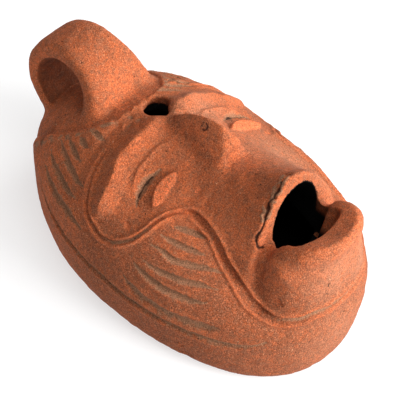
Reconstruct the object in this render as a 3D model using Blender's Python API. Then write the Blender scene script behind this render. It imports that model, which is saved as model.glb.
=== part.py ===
"""Hand lamp of terracotta in the form of an upturned bearded face.

The body, the nozzle in the mouth and the ring handle are one fired piece.
All sizes below are in millimetres; the finished mesh is written in metres.
The origin is the middle of the flat underside, the chin points along -Y,
the ring handle stands at +Y, and +Z is up.
"""
import math

import bmesh
import bpy
import numpy as np
from mathutils.kdtree import KDTree

# Scale from the sizes below to the model's metres
METRE = 0.001

# Body, an egg-shaped vessel with a flat underside
CHIN_REACH = 52.8
BACK_REACH = 44.9
HALF_WIDTH = 31.9
CHIN_ROUNDNESS = 2.3
BACK_ROUNDNESS = 1.83
SEAM_HEIGHT = 19.7
SEAM_DROP_AT_CHIN = 1.5
CROWN_BACK = 21.7
CROWN_MIDDLE = 24.3
CROWN_CHIN = 14.7
CROWN_SPAN = 50.0
CROWN_ROUNDNESS = 1.81
FOOT_SHARE_BACK = 0.74
FOOT_SHARE_CHIN = 0.85
FLANK_ROUNDNESS_BACK = 2.6
FLANK_ROUNDNESS_CHIN = 3.9
WALL = 4.0
ROOF = 5.8

# The far temple was pressed in a little while the clay was soft
PRESS_Y = -2.0
PRESS_REACH = 14.0
PRESS_DEPTH = 1.3
# On that side the beard and its wavy line run lower, out of sight from the near side
FAR_DROP = 6.0
FAR_DROP_Y = -24.0
FAR_DROP_REACH = 17.0
FAR_SHARE = 0.45

# Ring handle, a flat band bent in the middle plane
RING_Y = 36.5
RING_Z = 35.4
RING_RADIUS = 11.6
BAND_WIDTH = 14.6
BAND_THICKNESS = 5.3
BAND_FLARE = 14.6
BAND_ROUNDNESS = 4.2
RING_BACK_ANGLE = -75.0
RING_FRONT_ANGLE = 200.0

# Filling hole on the forehead, a little off the middle
FILL_X = 1.4
FILL_Y = 13.0
FILL_RADIUS = 3.9
FILL_WORN_EDGE = 0.5

# Nose, a wedge that leans a little and whose tip is broken off aslant
NOSE_ROOT_Y = 7.5
NOSE_TIP_Y = -11.9
NOSE_BED = 38.0
NOSE_ROOT_TOP = 46.2
NOSE_RIDGE_TOP = 53.2
NOSE_ROOT_HALF_WIDTH = 3.4
NOSE_TIP_HALF_WIDTH = 7.8
NOSE_ROUNDNESS = 1.15
NOSE_LEAN = 0.9
NOSE_BREAK_Y = -8.2
NOSE_BREAK_SLOPE = 1.1
NOSE_BREAK_TILT = 0.33

# Lower lip, a spout above the chin, and how far it is set back from the chin
SPOUT_SETBACK = 14.8
SPOUT_Y = SPOUT_SETBACK - CHIN_REACH
SPOUT_BED = 12.0
SPOUT_BACK_REACH = 8.0
LIP_REACH = 10.6
LIP_HALF_WIDTH = 10.8
LIP_TOP = 46.9
LIP_CORNER_TOP = 38.5
LIP_RISE = 0.45
LIP_EVERSION = 1.1
CHIN_HALF_WIDTH = 20.5
CHIN_SWELL = 3.9

# Mouth, a well in the spout and an arch under the upper lip
WELL_X = -0.5
WELL_Y = SPOUT_Y - 1.9
WELL_AHEAD = 3.1
WELL_BEHIND = 6.6
WELL_HALF_WIDTH = 8.4
WELL_SPREAD = 0.22
ARCH_X = 0.8
ARCH_HALF_WIDTH = 9.4
ARCH_ROUNDNESS = 2.5
ARCH_BED = 27.5
ARCH_TOP = 50.6
ARCH_BACK_Y = -19.0
ARCH_BACK_TOP = 40.0

# Upper lip, a hood that rises from the nose to a crisp leaning face over the mouth
HOOD_START_Y = -9.0
HOOD_FACE_Y = SPOUT_Y + 3.2
HOOD_START_BED = 37.0
HOOD_END_BED = 30.0
HOOD_START_TOP = 43.8
HOOD_END_TOP = 55.0
HOOD_START_HALF_WIDTH = 15.0
HOOD_END_HALF_WIDTH = 17.3
HOOD_ROUNDNESS = 1.55
HOOD_LEAN = 0.16

# Fineness of the model; the nose's ridge, the lips and the ring stay crisper than the rest
SKIN_COLUMNS = 168
SKIN_ROWS = 60
CAVITY_COLUMNS = 72
CAVITY_ROWS = 30
VOXEL = 0.62
FORM_PASSES = 9
LIP_PASSES = 4
EDGE_PASSES = 1
HOLLOW_PASSES = 1
CRISP_SHARE = 0.85
CRISP_RIDGE_HEIGHT = 46.0
CRISP_LIP_HEIGHT = 37.5
CRISP_RING_SHARE = 0.8
TRIANGLES = 9400
SHARP_EDGE = 50.0
UNDERSIDE_REACH = 0.4
UNDERSIDE_FINISH = 0.04

# Carving on one side, mirrored to the other: points beside the middle plane, along it and up
BROW_LINE = ((1.4, 7.5, 44.7), (3.9, 8.9, 43.6), (8.5, 9.0, 43.8), (12.9, 9.3, 42.1), (17.0, 9.1, 40.2),
             (21.5, 7.3, 38.3), (24.2, 6.3, 34.9), (26.2, 5.5, 31.6), (27.3, 3.6, 29.8))
BROW_HEIGHT = 2.0
BROW_INNER_WIDTH = 4.4
BROW_OUTER_WIDTH = 2.6
SOCKET_CENTRE = (16.0, -1.6)
SOCKET_REACH = (10.5, 5.5)
SOCKET_DEPTH = 1.9
EYE_LINE = ((10.7, -3.8, 41.7), (15.4, -4.0, 39.6), (19.5, -5.0, 36.4))
EYE_HALF_WIDTH = 1.9
EYE_HEIGHT = 1.15
EYE_TILT = 0.6
SLIT_LINE = ((11.5, 0.0, 39.6), (14.3, 0.5, 38.8), (16.8, 0.5, 37.6), (19.2, 0.0, 35.7), (21.3, -1.3, 34.8))
SLIT_WIDTH = 2.1
SLIT_DEPTH = 1.2
CURL_LINE = ((13.7, 14.4, 39.5), (18.3, 13.9, 36.7), (21.6, 12.9, 33.8), (24.5, 11.2, 31.1),
             (26.9, 8.3, 28.7), (28.2, 4.7, 27.2), (28.6, 2.1, 26.6), (28.4, -0.8, 27.0),
             (27.2, -3.9, 28.7), (25.5, -5.8, 30.4), (23.1, -7.1, 32.7), (20.7, -8.0, 34.4),
             (18.4, -9.3, 35.9), (16.0, -11.4, 37.0), (14.6, -14.0, 37.3), (14.5, -17.0, 37.1),
             (15.1, -20.5, 36.8), (15.4, -23.9, 34.8), (16.2, -26.5, 32.6), (16.7, -29.2, 30.8),
             (17.3, -32.2, 28.8), (17.8, -34.8, 26.9), (17.7, -37.5, 25.6), (16.6, -41.0, 24.7),
             (15.5, -44.4, 24.6), (12.8, -48.1, 25.0), (9.7, -50.5, 26.1), (6.0, -51.6, 25.9),
             (2.1, -52.1, 26.1), (0.0, -52.2, 26.0))
CURL_WIDTH = 2.1
CURL_DEPTH = 1.2
CURL_BORDER = 0.7

# The hair stands proud of the plain field behind: half-width of the field at places along the lamp
FIELD_EDGE = ((16.9, 1.6), (17.2, 5.0), (17.6, 8.3), (19.3, 10.0), (21.5, 12.2), (24.6, 14.2),
              (30.1, 15.5), (33.2, 15.8), (36.5, 15.4))
HAIR_STEP = 1.2

# Strokes of hair and beard
STROKES = (
    ((22.1, 27.8, 26.1), (24.3, 23.2, 24.8), (26.2, 18.5, 24.6), (27.5, 14.6, 24.8),
     (29.8, 8.6, 24.7)),
    ((19.6, 28.8, 29.4), (21.3, 25.6, 28.4), (23.3, 21.2, 28.1), (24.9, 17.3, 28.1),
     (25.7, 14.1, 28.5)),
    ((17.6, 27.5, 32.4), (18.9, 24.6, 31.7), (20.4, 21.4, 31.3), (22.8, 16.4, 31.0),
     (24.5, 13.5, 32.2)),
    ((16.8, 25.2, 34.1), (18.4, 21.5, 33.5), (19.6, 18.2, 33.5)),
    ((15.8, 22.6, 35.9), (16.3, 20.5, 35.6), (16.8, 18.7, 35.7)),
    ((14.0, 21.1, 38.5), (13.7, 19.1, 38.2), (14.2, 16.6, 39.1)),
    ((19.9, -12.4, 35.7), (18.8, -14.7, 35.6), (17.5, -17.4, 35.4), (16.1, -21.7, 35.6)),
    ((22.8, -10.8, 34.0), (22.1, -13.7, 33.3), (21.2, -17.1, 33.2), (20.0, -19.9, 32.7),
     (19.3, -22.3, 32.9)),
    ((25.2, -10.7, 31.5), (24.3, -13.3, 31.0), (24.2, -16.6, 30.3), (23.0, -19.1, 30.3),
     (21.4, -22.5, 30.5), (19.3, -28.1, 31.4)),
    ((28.0, -10.6, 28.2), (27.4, -13.2, 27.2), (26.8, -16.3, 27.3), (25.8, -19.7, 27.4),
     (24.1, -23.7, 27.6), (21.9, -29.5, 28.3)),
    ((29.4, -8.8, 26.6), (29.4, -11.2, 25.6), (28.8, -14.7, 24.7), (29.0, -18.2, 24.7),
     (28.0, -22.0, 24.6), (26.8, -25.5, 24.6), (25.2, -28.8, 25.5)),
)
# Lines round the jaw
JAW_LINES = (
    ((31.1, -7.5, 21.9), (31.4, -9.3, 20.8), (31.5, -12.9, 19.2), (30.8, -18.5, 18.5),
     (29.4, -23.9, 18.4), (27.5, -29.3, 18.9), (25.3, -34.2, 20.1)),
    ((23.4, 28.2, 20.2), (26.0, 23.0, 18.5), (28.8, 15.3, 17.3), (30.3, 8.9, 17.0),
     (31.4, -0.1, 16.3), (31.6, -9.1, 15.2), (30.9, -16.2, 14.7), (29.3, -24.3, 14.5),
     (27.5, -29.2, 14.9), (24.9, -35.4, 15.2), (22.1, -41.1, 16.6), (19.5, -44.2, 18.5)),
)
STROKE_WIDTH = 2.1
STROKE_DEPTH = 1.2
JAW_WIDTH = 2.5
JAW_DEPTH = 1.1


def smooth_step(value, low, high):
    share = np.clip((value - low) / (high - low), 0.0, 1.0)
    return share * share * (3.0 - 2.0 * share)


def signed_power(value, exponent):
    return np.sign(value) * np.abs(value) ** exponent


def crown_height(y):
    """Height of the crown above the seam, a parabola through three sizes."""
    share = y / CROWN_SPAN
    swell = (CROWN_BACK + CROWN_CHIN) / 2 - CROWN_MIDDLE
    slope = (CROWN_BACK - CROWN_CHIN) / 2
    return CROWN_MIDDLE + slope * share + swell * share ** 2


def skin(bearing, rise, inset=0.0):
    """Point of the plain vessel; bearing 0 is the chin, rise runs from underside to crown."""
    ahead, aside = np.cos(bearing), np.sin(bearing)
    roundness = np.where(ahead > 0, CHIN_ROUNDNESS, BACK_ROUNDNESS)
    reach = np.where(ahead > 0, CHIN_REACH, BACK_REACH) - inset
    outline_x = (HALF_WIDTH - inset) * signed_power(aside, 2 / roundness)
    outline_y = -reach * signed_power(ahead, 2 / roundness)
    chin = np.clip((ahead + 0.3) / 1.3, 0, 1) ** 1.5
    level, steep = np.abs(np.cos(rise)), np.abs(np.sin(rise))

    shrink_up = level ** (2 / CROWN_ROUNDNESS)
    crown = crown_height(shrink_up * outline_y) - inset * ROOF / WALL
    top = SEAM_HEIGHT - SEAM_DROP_AT_CHIN * chin * shrink_up + crown * steep ** (2 / CROWN_ROUNDNESS)

    flank = FLANK_ROUNDNESS_BACK + (FLANK_ROUNDNESS_CHIN - FLANK_ROUNDNESS_BACK) * chin
    foot = FOOT_SHARE_BACK + (FOOT_SHARE_CHIN - FOOT_SHARE_BACK) * chin
    shrink_down = foot + (1 - foot) * level ** (2 / flank)
    seam = SEAM_HEIGHT - SEAM_DROP_AT_CHIN * chin
    low = inset + (seam - inset) * (1 - steep ** (2 / flank))

    above = rise >= 0
    shrink = np.where(above, shrink_up, shrink_down)
    return np.stack([shrink * outline_x, shrink * outline_y, np.where(above, top, low)], -1)


def smooth_path(points, steps=10):
    """Catmull-Rom curve through a few points."""
    points = np.array(points, float)
    ends = np.vstack([2 * points[0] - points[1], points, 2 * points[-1] - points[-2]])
    share = np.linspace(0, 1, steps, endpoint=False)[:, None]
    runs = []
    for a, b, c, d in zip(ends[:-3], ends[1:-2], ends[2:-1], ends[3:]):
        runs.append(0.5 * (2 * b + (c - a) * share + (2 * a - 5 * b + 4 * c - d) * share ** 2
                           + (3 * b - a - 3 * c + d) * share ** 3))
    return np.vstack(runs + [points[-1:]])


def along(places, path, reach):
    """Distance of each place from a path, and the share of the path where it is nearest."""
    distance = np.full(len(places), 1e3)
    share = np.zeros(len(places))
    near = np.all((places > path.min(0) - reach) & (places < path.max(0) + reach), axis=1)
    spot = places[near]
    best = np.full(len(spot), 1e3)
    where = np.zeros(len(spot))
    lengths = np.linalg.norm(np.diff(path, axis=0), axis=1)
    starts = np.concatenate([[0], np.cumsum(lengths)])
    for i, (start, end) in enumerate(zip(path[:-1], path[1:])):
        run = end - start
        t = np.clip((spot - start) @ run / max(run @ run, 1e-9), 0, 1)
        gap = np.linalg.norm(spot - start - t[:, None] * run, axis=1)
        nearer = gap < best
        best = np.where(nearer, gap, best)
        where = np.where(nearer, (starts[i] + t * lengths[i]) / starts[-1], where)
    distance[near] = best
    share[near] = where
    return distance, share


def tapered(share, ends=0.12):
    return smooth_step(np.minimum(share, 1 - share), 0.0, ends)


def flank_reach(y, z):
    """Half-width of the plain body at places along it and heights."""
    roundness = np.where(y < 0, CHIN_ROUNDNESS, BACK_ROUNDNESS)
    reach = np.where(y < 0, CHIN_REACH, BACK_REACH)
    lift = np.clip((z - SEAM_HEIGHT) / crown_height(y), 0, 1)
    share = (1 - lift ** CROWN_ROUNDNESS) ** (1 / CROWN_ROUNDNESS)
    return HALF_WIDTH * np.clip(share ** roundness - np.abs(y / reach) ** roundness, 0, 1) ** (1 / roundness)


def fold_over(places):
    """Places of the far side laid on the near side's pattern, whose beard they carry lower down."""
    x, y, z = places.T
    beside = smooth_step(x, 8.0, 20.0) * smooth_step(44.0 - z, 0.0, 6.0)
    drop = FAR_DROP * np.exp(-((y - FAR_DROP_Y) / FAR_DROP_REACH) ** 4) * beside
    moved = flank_reach(y, z + drop) - flank_reach(y, z)
    return np.column_stack([np.abs(x) + moved, y, z + drop])


class Relief:
    """Height of the carving over the plain form at some places."""

    def __init__(self, places):
        self.places = places
        self.side = fold_over(places)
        self.height = np.zeros(len(places))
        self.tree = KDTree(len(places))
        for i, place in enumerate(places):
            self.tree.insert(place, i)
        self.tree.balance()

    def on_skin(self, points):
        """Smooth path through points that lie on the skin; the near side's skin stands for both."""
        turn = np.array((-1.0, 1.0, 1.0))
        spots = [np.array(self.tree.find(spot * turn)[0]) * turn for spot in smooth_path(points, 6)]
        spots = np.array(spots)
        spots[1:-1] = (spots[:-2] + 2 * spots[1:-1] + spots[2:]) / 4
        return spots

    def groove(self, points, width, depth):
        distance, share = along(self.side, self.on_skin(points), 2 * width)
        self.height -= depth * np.exp(-(distance / (0.55 * width)) ** 2) * (0.35 + 0.65 * tapered(share))


def bowl(places, centre, reach, depth):
    across = ((places[:, 0] - centre[0]) / reach[0]) ** 2 + ((places[:, 1] - centre[1]) / reach[1]) ** 2
    return depth * np.exp(-across * 1.6)


def press_far_temple(relief):
    places = relief.places
    about = np.exp(-((places[:, 1] - PRESS_Y) / PRESS_REACH) ** 2)
    beside = smooth_step(places[:, 0], 6.0, 15.0) * smooth_step(places[:, 2], 18.0, 30.0)
    relief.height -= PRESS_DEPTH * about * beside


def raise_hair(relief):
    """The hair stands proud of the plain field behind the handle."""
    places = relief.side
    front = FIELD_EDGE[0][0]
    edge = np.interp(places[:, 1], *np.array(FIELD_EDGE).T)
    edge = np.where(places[:, 1] < front, -2.0 + (places[:, 1] - front) * 3.0, edge)
    outside = places[:, 0] - edge
    rise = smooth_step(outside, -0.5, 0.6) * np.exp(-(np.maximum(outside, 0) / 9.0) ** 2)
    window = smooth_step(places[:, 1], 13.0, 18.5) * smooth_step(places[:, 2], 14.0, 24.0)
    far = 1 - (1 - FAR_SHARE) * smooth_step(relief.places[:, 0], 0.0, 4.0)
    relief.height += HAIR_STEP * rise * window * far


def raise_brow(relief):
    """Brow with a crest and a sloping inner face that runs down to the eye."""
    path = relief.on_skin(BROW_LINE)
    distance, share = along(relief.side, path, 8.0)
    order = np.argsort(path[:, 0])
    inner = np.interp(relief.side[:, 0], path[order, 0], path[order, 1]) > relief.side[:, 1]
    width = BROW_INNER_WIDTH * (1 - 0.25 * share)
    slope = np.where(inner, np.clip(1 - distance / width, 0, 1), np.exp(-(distance / BROW_OUTER_WIDTH) ** 2))
    far = 1 - (1 - FAR_SHARE) * smooth_step(relief.places[:, 0], 8.0, 16.0)
    relief.height += BROW_HEIGHT * slope * tapered(share, 0.11) * far


def raise_eye(relief):
    high = smooth_step(relief.places[:, 2], 28.0, 33.0)
    far = 1 - (1 - FAR_SHARE) * smooth_step(relief.places[:, 0], 0.0, 4.0)
    relief.height += far * high * bowl(relief.side, SOCKET_CENTRE, SOCKET_REACH, -SOCKET_DEPTH)
    relief.groove(SLIT_LINE, SLIT_WIDTH, SLIT_DEPTH)
    distance, share = along(relief.side, relief.on_skin(EYE_LINE), 5.0)
    inside = EYE_HALF_WIDTH * np.clip(1 - (2 * share - 1) ** 2, 0, 1) ** 0.7 - distance
    eyeball = smooth_step(inside, -0.4, 0.5)
    middle = np.interp(relief.side[:, 0], *np.array(EYE_LINE).T[:2])
    tilt = np.clip((relief.side[:, 1] - middle) / EYE_HALF_WIDTH, -1, 1)
    relief.height += (EYE_HEIGHT + EYE_TILT * tilt) * eyeball


def carve_curl(relief):
    """Wavy line between hair, cheek and beard, a groove between two raised borders."""
    distance, share = along(relief.side, relief.on_skin(CURL_LINE), 3 * CURL_WIDTH)
    begun = smooth_step(share, 0.02, 0.15)
    relief.height -= CURL_DEPTH * begun * np.exp(-(distance / (0.5 * CURL_WIDTH)) ** 2)
    border = np.exp(-((distance - 0.95 * CURL_WIDTH) / (0.4 * CURL_WIDTH)) ** 2)
    relief.height += CURL_BORDER * begun * border


def carving(places):
    relief = Relief(places)
    press_far_temple(relief)
    raise_hair(relief)
    raise_brow(relief)
    for line in STROKES:
        relief.groove(line, STROKE_WIDTH, STROKE_DEPTH)
    for line in JAW_LINES:
        relief.groove(line, JAW_WIDTH, JAW_DEPTH)
    carve_curl(relief)
    raise_eye(relief)
    return relief.height


def closed_loft(rings):
    """Closed mesh through rings of equal count, its two ends fanned to their middles."""
    rings = np.array(rings)
    rows, count = rings.shape[:2]
    verts = [tuple(spot) for spot in rings.reshape(-1, 3)]
    faces = []
    for row in range(rows - 1):
        for i in range(count):
            j = (i + 1) % count
            faces.append((row * count + i, row * count + j, (row + 1) * count + j, (row + 1) * count + i))
    for row, turn in ((0, -1), (rows - 1, 1)):
        middle = len(verts)
        verts.append(tuple(rings[row].mean(0)))
        for i in range(count):
            j = (i + 1) % count
            faces.append((row * count + i, row * count + j, middle)[::turn])
    return verts, faces


def vessel(inset=0.0, columns=SKIN_COLUMNS, rows=SKIN_ROWS):
    bearings = np.linspace(0, 2 * math.pi, columns, endpoint=False)
    lift = 0.5 * math.pi * np.sin(np.linspace(-0.5, 0.5, rows) * math.pi)
    lift[0], lift[-1] = -0.5 * math.pi, 0.49 * math.pi
    return closed_loft([skin(bearings, np.full(columns, rise), inset) for rise in lift])


def ring_handle():
    """Flat band along most of a circle, widening where it meets the forehead."""
    turn = np.linspace(0, 2 * math.pi, 40, endpoint=False)
    rings = []
    for share in np.linspace(0, 1, 72):
        angle = math.radians(RING_BACK_ANGLE + share * (RING_FRONT_ANGLE - RING_BACK_ANGLE))
        outward = np.array([0, math.cos(angle), math.sin(angle)])
        middle = np.array([0, RING_Y, RING_Z]) + RING_RADIUS * outward
        width = BAND_WIDTH / 2 + BAND_FLARE / 2 * max(0, (share - 0.55) / 0.45) ** 2
        thick = BAND_THICKNESS / 2 * (1 + 0.5 * max(0, (share - 0.7) / 0.3))
        across = width * signed_power(np.cos(turn), 2 / BAND_ROUNDNESS)
        deep = thick * signed_power(np.sin(turn), 2 / BAND_ROUNDNESS)
        rings.append(middle + across[:, None] * np.array([1, 0, 0]) + deep[:, None] * outward)
    return closed_loft(rings)


def arch(y, half_width, bed, top, roundness, columns=36):
    """Arched section across the body: a rounded peak on a flat bed."""
    turn = np.linspace(0, math.pi, columns)
    x = half_width * signed_power(np.cos(turn), 2 / roundness)
    z = bed + (top - bed) * np.abs(np.sin(turn)) ** (2 / roundness)
    return np.stack([x, np.full(columns, y), z], -1)


def nose():
    rings = []
    for share in np.linspace(0, 1, 28):
        y = NOSE_ROOT_Y + share * (NOSE_TIP_Y - NOSE_ROOT_Y)
        width = NOSE_ROOT_HALF_WIDTH + (NOSE_TIP_HALF_WIDTH - NOSE_ROOT_HALF_WIDTH) * share ** 0.8
        top = NOSE_ROOT_TOP + (NOSE_RIDGE_TOP - NOSE_ROOT_TOP) * math.sin(0.5 * math.pi * min(share * 1.35, 1))
        ring = arch(y, width, NOSE_BED, top, NOSE_ROUNDNESS)
        ring[:, 0] += NOSE_LEAN * share * (ring[:, 2] - NOSE_BED) / (top - NOSE_BED)
        broken = NOSE_RIDGE_TOP + NOSE_BREAK_SLOPE * (y - NOSE_BREAK_Y)
        ring[:, 2] = np.minimum(ring[:, 2], broken + NOSE_BREAK_TILT * (ring[:, 0] - NOSE_LEAN))
        rings.append(ring)
    return closed_loft(rings)


def hood():
    """Its last section leans back and is the flat face of the upper lip."""
    rings = []
    for share in np.linspace(0, 1, 30):
        width = HOOD_START_HALF_WIDTH + (HOOD_END_HALF_WIDTH - HOOD_START_HALF_WIDTH) * share
        top = HOOD_START_TOP + (HOOD_END_TOP - HOOD_START_TOP) * share ** 1.5
        bed = HOOD_START_BED + (HOOD_END_BED - HOOD_START_BED) * share ** 2
        ring = arch(0.0, width, bed, top, HOOD_ROUNDNESS)
        lean = HOOD_LEAN * share * (ring[:, 2] - bed)
        ring[:, 1] = HOOD_START_Y + share * (HOOD_FACE_Y - HOOD_START_Y) + lean
        rings.append(ring)
    return closed_loft(rings)


def oval(x, y, half_width, ahead, behind, roundness, columns=64):
    """Outline in plan: an oval that reaches further ahead than behind."""
    turn = np.linspace(0, 2 * math.pi, columns, endpoint=False)
    reach = np.where(np.sin(turn) > 0, ahead, behind)
    across = x + half_width * signed_power(np.cos(turn), 2 / roundness)
    return across, y - reach * signed_power(np.sin(turn), 2 / roundness)


def spout():
    """Lower lip and chin: upright oval sections under a rolled rim that rises to the front."""
    rings = []
    for share in np.linspace(0, 1, 40):
        flare = LIP_EVERSION * (smooth_step(share, 0.82, 0.93) - smooth_step(share, 0.95, 1.0))
        chin = (1 - share) ** 0.85
        width = LIP_HALF_WIDTH + (CHIN_HALF_WIDTH - LIP_HALF_WIDTH) * chin + flare
        ahead = LIP_REACH + CHIN_SWELL * chin + flare
        x, y = oval(0.0, SPOUT_Y, width, ahead, SPOUT_BACK_REACH, 2.3)
        forward = np.clip((SPOUT_Y + 2 - y) / LIP_REACH, 0, 1)
        rim = LIP_CORNER_TOP + (LIP_TOP - LIP_CORNER_TOP) * forward ** LIP_RISE
        rings.append(np.stack([x, y, SPOUT_BED + share * (rim - SPOUT_BED)], -1))
    return closed_loft(rings)


def mouth_well():
    rings = []
    for z in np.linspace(SPOUT_BED + 3, HOOD_END_TOP + 8, 12):
        grow = WELL_SPREAD * max(LIP_TOP - 3 - z, 0)
        ahead, behind = WELL_AHEAD + 0.35 * grow, WELL_BEHIND + 1.5 * grow
        x, y = oval(WELL_X, WELL_Y, WELL_HALF_WIDTH + grow, ahead, behind, 2.3)
        rings.append(np.stack([x, y, np.full(len(x), z)], -1))
    return closed_loft(rings)


def mouth_arch():
    rings = []
    for share in np.linspace(0, 1, 12):
        y = WELL_Y + 2.5 + share * (ARCH_BACK_Y - WELL_Y - 2.5)
        top = ARCH_TOP + (ARCH_BACK_TOP - ARCH_TOP) * smooth_step(share, 0.2, 1.0)
        rings.append(arch(y, ARCH_HALF_WIDTH, ARCH_BED, top, ARCH_ROUNDNESS) + np.array([ARCH_X, 0, 0]))
    return closed_loft(rings)


def filling_hole():
    turn = np.linspace(0, 2 * math.pi, 40, endpoint=False)
    top = SEAM_HEIGHT + CROWN_MIDDLE
    rings = []
    for z, grow in ((top - 12, 0), (top - 1.5, 0), (top + 1.5, FILL_WORN_EDGE), (top + 12, 8 * FILL_WORN_EDGE)):
        radius = FILL_RADIUS + grow
        x, y = FILL_X + radius * np.cos(turn), FILL_Y + radius * np.sin(turn)
        rings.append(np.stack([x, y, np.full(40, z)], -1))
    return closed_loft(rings)


def mesh_object(name, parts):
    """One object of one or more closed meshes, faces turned outwards."""
    mesh = bpy.data.meshes.new(name)
    whole = bmesh.new()
    for verts, faces in parts:
        made = [whole.verts.new(spot) for spot in verts]
        for face in faces:
            whole.faces.new([made[i] for i in face])
    bmesh.ops.recalc_face_normals(whole, faces=whole.faces)
    whole.to_mesh(mesh)
    whole.free()
    thing = bpy.data.objects.new(name, mesh)
    bpy.context.scene.collection.objects.link(thing)
    return thing


def apply_modifiers(thing):
    shape = bpy.data.meshes.new_from_object(thing.evaluated_get(bpy.context.evaluated_depsgraph_get()))
    old = thing.data
    thing.modifiers.clear()
    thing.data = shape
    bpy.data.meshes.remove(old)


def read_vectors(mesh, name):
    vectors = np.empty(len(mesh.vertices) * 3, np.float32)
    mesh.vertices.foreach_get(name, vectors)
    return vectors.reshape(-1, 3).astype(float)


def set_places(mesh, places):
    mesh.vertices.foreach_set("co", places.astype(np.float32).ravel())
    mesh.update()


def crispness(places):
    """1 where edges stay crisp: the nose's ridge, the lips round the mouth and nearly so the ring."""
    y, z = places[:, 1], places[:, 2]
    ridge = smooth_step(z, CRISP_RIDGE_HEIGHT - 1, CRISP_RIDGE_HEIGHT + 1)
    ridge = ridge * (y > NOSE_TIP_Y - 2) * (y < NOSE_ROOT_Y - 4)
    lips = smooth_step(z, CRISP_LIP_HEIGHT - 1.5, CRISP_LIP_HEIGHT + 1.5)
    lips = lips * smooth_step(HOOD_FACE_Y + 5.5 - y, 0.0, 2.0)
    ring = smooth_step(y, RING_Y - 11.5, RING_Y - 8.5) * smooth_step(z, RING_Z - 8.4, RING_Z - 4.4)
    return np.maximum(np.maximum(ridge, lips), CRISP_RING_SHARE * ring)


def soften(thing, passes):
    """Move each point towards the middle of its neighbours, less so at the crisp edges."""
    mesh = thing.data
    edges = np.empty(len(mesh.edges) * 2, np.int32)
    mesh.edges.foreach_get("vertices", edges)
    first, second = edges.reshape(-1, 2).T
    start, end = np.concatenate([first, second]), np.concatenate([second, first])
    places = read_vectors(mesh, "co")
    count = np.bincount(start, minlength=len(places))[:, None]
    share = 0.5 * (1 - CRISP_SHARE * crispness(places))[:, None]
    for _ in range(passes):
        sums = [np.bincount(start, weights=places[end, axis], minlength=len(places)) for axis in range(3)]
        places += share * (np.stack(sums, -1) / count - places)
    set_places(mesh, places)


def fuse(thing, passes):
    """Join overlapping forms into one skin and soften its edges."""
    remesh = thing.modifiers.new("fuse", "REMESH")
    remesh.mode = "VOXEL"
    remesh.voxel_size = VOXEL
    apply_modifiers(thing)
    soften(thing, passes)


def cut_away(thing, cutter):
    cutter.hide_render = True
    cutter.display_type = "WIRE"
    cut = thing.modifiers.new("cut", "BOOLEAN")
    cut.operation = "DIFFERENCE"
    cut.solver = "EXACT"
    cut.object = cutter
    apply_modifiers(thing)
    bpy.data.objects.remove(cutter)


def add_form(thing, form):
    whole = bmesh.new()
    whole.from_mesh(thing.data)
    verts, faces = form
    made = [whole.verts.new(spot) for spot in verts]
    added = [whole.faces.new([made[i] for i in face]) for face in faces]
    bmesh.ops.recalc_face_normals(whole, faces=added)
    whole.to_mesh(thing.data)
    whole.free()


def carve(thing):
    mesh = thing.data
    places = read_vectors(mesh, "co")
    normals = read_vectors(mesh, "normal")
    set_places(mesh, places + normals * carving(places)[:, None])


def thin_out(thing, triangles):
    """Fewer, larger triangles."""
    mesh = thing.data
    mesh.calc_loop_triangles()
    fewer = thing.modifiers.new("fewer", "DECIMATE")
    fewer.ratio = triangles / len(mesh.loop_triangles)
    apply_modifiers(thing)


def flatten_underside(thing, below):
    places = read_vectors(thing.data, "co")
    places[places[:, 2] < below, 2] = 0.0
    set_places(thing.data, places)


def terracotta():
    material = bpy.data.materials.new("terracotta")
    material.use_nodes = True
    shader = material.node_tree.nodes["Principled BSDF"]
    shader.inputs["Base Color"].default_value = (0.42, 0.115, 0.045, 1)
    shader.inputs["Roughness"].default_value = 0.85
    shader.inputs["Metallic"].default_value = 0.0
    return material


def lamp_body():
    lamp = mesh_object("lamp_body", [vessel(), ring_handle(), nose(), hood()])
    fuse(lamp, FORM_PASSES)
    add_form(lamp, spout())
    fuse(lamp, LIP_PASSES)
    carve(lamp)
    cavity = vessel(WALL, CAVITY_COLUMNS, CAVITY_ROWS)
    hollow = mesh_object("hollow", [cavity, mouth_well(), mouth_arch(), filling_hole()])
    fuse(hollow, HOLLOW_PASSES)
    cut_away(lamp, hollow)
    fuse(lamp, EDGE_PASSES)
    flatten_underside(lamp, UNDERSIDE_REACH)
    thin_out(lamp, TRIANGLES)
    flatten_underside(lamp, UNDERSIDE_FINISH)
    set_places(lamp.data, read_vectors(lamp.data, "co") * METRE)
    lamp.data.shade_smooth()
    lamp.data.set_sharp_from_angle(angle=math.radians(SHARP_EDGE))
    lamp.data.materials.clear()
    lamp.data.materials.append(terracotta())


for old in list(bpy.data.objects):
    bpy.data.objects.remove(old)
lamp_body()
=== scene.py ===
"""Looks of a hand lamp of fired clay in the form of an upturned bearded face.

The lamp is built again from the sizes of its solid, finer, with its carving, chips and worn, dusty skin.
Sizes are in millimetres and turn into metres when a mesh is finished. The chin points along -Y, the ring
handle stands at +Y, and the origin is the middle of the flat underside.
"""
import itertools
import math

import bmesh
import bpy
import numpy as np
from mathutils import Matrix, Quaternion, Vector
from mathutils.kdtree import KDTree


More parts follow.
